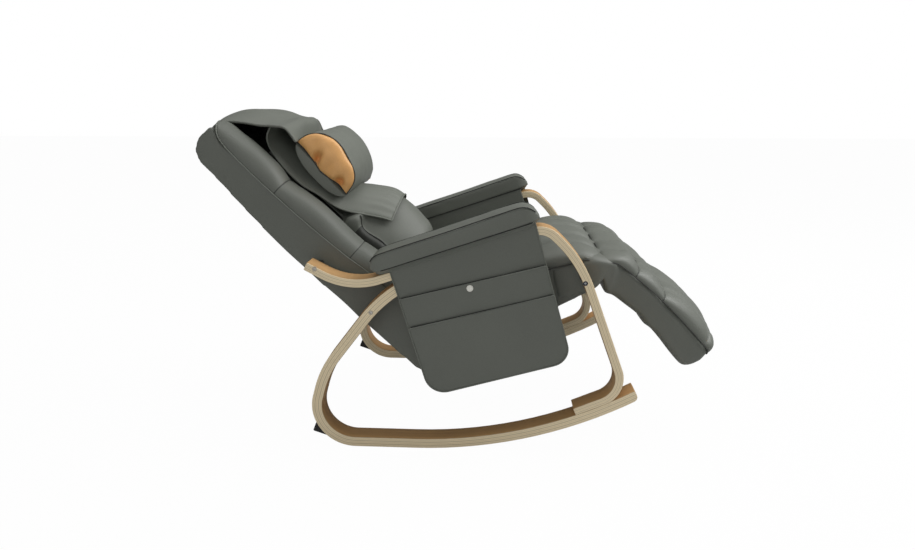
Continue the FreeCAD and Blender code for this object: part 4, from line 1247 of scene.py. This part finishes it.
class CHAIR_OT_hardware(bpy.types.Operator):
    """Finishes of the steel, plastic and rubber that stay as they are in the model"""
    bl_idname = "chair.hardware"
    bl_label = "Hardware"

    def execute(self, context):
        chosen = {"bright_steel": "steel", "black_steel": "paint", "black_plastic": "plastic",
                  "black_rubber": "rubber", "nut_brass": "brass", "inner_plywood": "board", "black_mesh": "net"}
        for part in frame["record"]["subparts"]:
            finish = "bolt" if part["node"] == "body_bolts" else chosen.get(part["material_slot"])
            if finish:
                mesh = NODES[part["node"]].data
                mesh.materials.clear()
                mesh.materials.append(FINISHES[finish])
        return {"FINISHED"}


# Stage

# Name, place, size and power of each lamp
LAMPS = (("key", (2.6, 0.5, 2.7), 2.4, 102.0), ("near", (-0.8, -3.2, 1.8), 3.0, 26.0),
         ("top", (-0.2, 0.3, 3.8), 3.4, 55.0))
SKY_LIGHT = 0.18
# The camera that was solved from the photo
PHOTO_WIDTH, FOCAL_PIXELS, SENSOR = 915.0, 660.0, 36.0
CAMERA_PLACE, CAMERA_TURN, CAMERA_TILT = (0.18965 - MID, -1.89862, 0.8958), 3.308, 15.012


def aimed(name, data, place, look):
    """An object that looks along a direction."""
    made = linked(name, data)
    made.location = place
    made.rotation_euler = look.to_track_quat("-Z", "Y").to_euler()
    return made


class CHAIR_OT_stage(bpy.types.Operator):
    """Pale floor, soft studio light and the camera"""
    bl_idname = "chair.stage"
    bl_label = "Stage"

    def execute(self, context):
        scene = context.scene
        scene.view_settings.view_transform = "Standard"
        self.floor()
        self.world(scene)
        for name, place, size, power in LAMPS:
            lamp = bpy.data.lights.new(name, "AREA")
            lamp.energy, lamp.size = power, size
            aimed(name, lamp, place, Vector((0, 0, 0.4)) - Vector(place))
        self.camera(scene)
        return {"FINISHED"}

    def floor(self):
        """Floor that is white to the camera but for a faint shadow."""
        bm = bmesh.new()
        ops.create_grid(bm, x_segments=2, y_segments=2, size=14.0)
        ops.translate(bm, verts=bm.verts, vec=(0, 0, -0.0008))
        pale = Finish("pale_floor")
        pale.set(Base_Color=(0.7, 0.7, 0.7), Roughness=0.9)
        seen = pale.value(pale.node("LightPath", {}), "Is Camera Ray")
        plain = pale.node("Emission", {"Color": (1, 1, 1), "Strength": 1.0})
        mix = pale.node("MixShader", {0: seen * 0.98, 1: pale.shader.outputs[0], 2: plain.outputs[0]})
        pale.feed(pale.tree.nodes["Material Output"].inputs["Surface"], mix.outputs[0])
        mesh = mesh_of(bm, "floor")
        mesh.materials.append(pale.material)
        linked("floor", mesh)

    def world(self, scene):
        """Sky that is white to the camera and dim as a light."""
        scene.world = world = bpy.data.worlds.new("studio")
        world.use_nodes = True
        nodes, links = world.node_tree.nodes, world.node_tree.links
        ray, scale = nodes.new("ShaderNodeLightPath"), nodes.new("ShaderNodeMapRange")
        scale.inputs["To Min"].default_value = SKY_LIGHT
        scale.inputs["To Max"].default_value = 1.0
        sky = nodes["Background"]
        sky.inputs["Color"].default_value = (1, 1, 1, 1)
        links.new(ray.outputs["Is Camera Ray"], scale.inputs["Value"])
        links.new(scale.outputs[0], sky.inputs["Strength"])

    def camera(self, scene):
        lens = bpy.data.cameras.new("view")
        lens.sensor_width = SENSOR
        lens.lens = FOCAL_PIXELS / PHOTO_WIDTH * SENSOR
        turn, tilt = radians(CAMERA_TURN), radians(CAMERA_TILT)
        look = Vector((-sin(turn) * cos(tilt), cos(turn) * cos(tilt), -sin(tilt)))
        scene.camera = aimed("view", lens, CAMERA_PLACE, look)


# Add-on

def tint(name, description, colour):
    return bpy.props.FloatVectorProperty(name=name, description=description, subtype="COLOR", size=3,
                                         default=colour, min=0, max=1)


class ChairLooks(bpy.types.PropertyGroup):
    """Colours of the chair"""
    leather: tint("Leather", "Cover colour", (0.150, 0.160, 0.137))
    tan: tint("Tan", "Pillow end colour", (0.85, 0.46, 0.17))
    veneer: tint("Veneer", "Broad faces of the bent wood", (0.70, 0.42, 0.185))
    ply: tint("Plies", "Cut edges of the bent wood", (0.90, 0.75, 0.50))


class CHAIR_PT_panel(bpy.types.Panel):
    """Lists the pieces of the chair"""
    bl_idname = "CHAIR_PT_panel"
    bl_label = "Rocking chair"
    bl_space_type = "VIEW_3D"
    bl_region_type = "UI"
    bl_category = "Chair"

    def draw(self, context):
        looks = context.scene.chair_looks
        for name in ("leather", "tan", "veneer", "ply"):
            self.layout.prop(looks, name)
        for step in STEPS:
            self.layout.operator(step.bl_idname)


STEPS = (CHAIR_OT_bent_sides, CHAIR_OT_covers, CHAIR_OT_back_rolls, CHAIR_OT_lumbar_pad, CHAIR_OT_head_sheet,
         CHAIR_OT_head_pillow, CHAIR_OT_seat_quilt, CHAIR_OT_armrests, CHAIR_OT_pockets, CHAIR_OT_hardware,
         CHAIR_OT_stage)
CLASSES = (ChairLooks, *STEPS, CHAIR_PT_panel)


def register():
    for cls in CLASSES:
        bpy.utils.register_class(cls)
    bpy.types.Scene.chair_looks = bpy.props.PointerProperty(type=ChairLooks)


def unregister():
    del bpy.types.Scene.chair_looks
    for cls in reversed(CLASSES):
        bpy.utils.unregister_class(cls)


def main():
    register()
    make_finishes(bpy.context.scene.chair_looks)
    for step in STEPS:
        group, name = step.bl_idname.split(".")
        getattr(getattr(bpy.ops, group), name)()


if __name__ == "__main__":
    main()
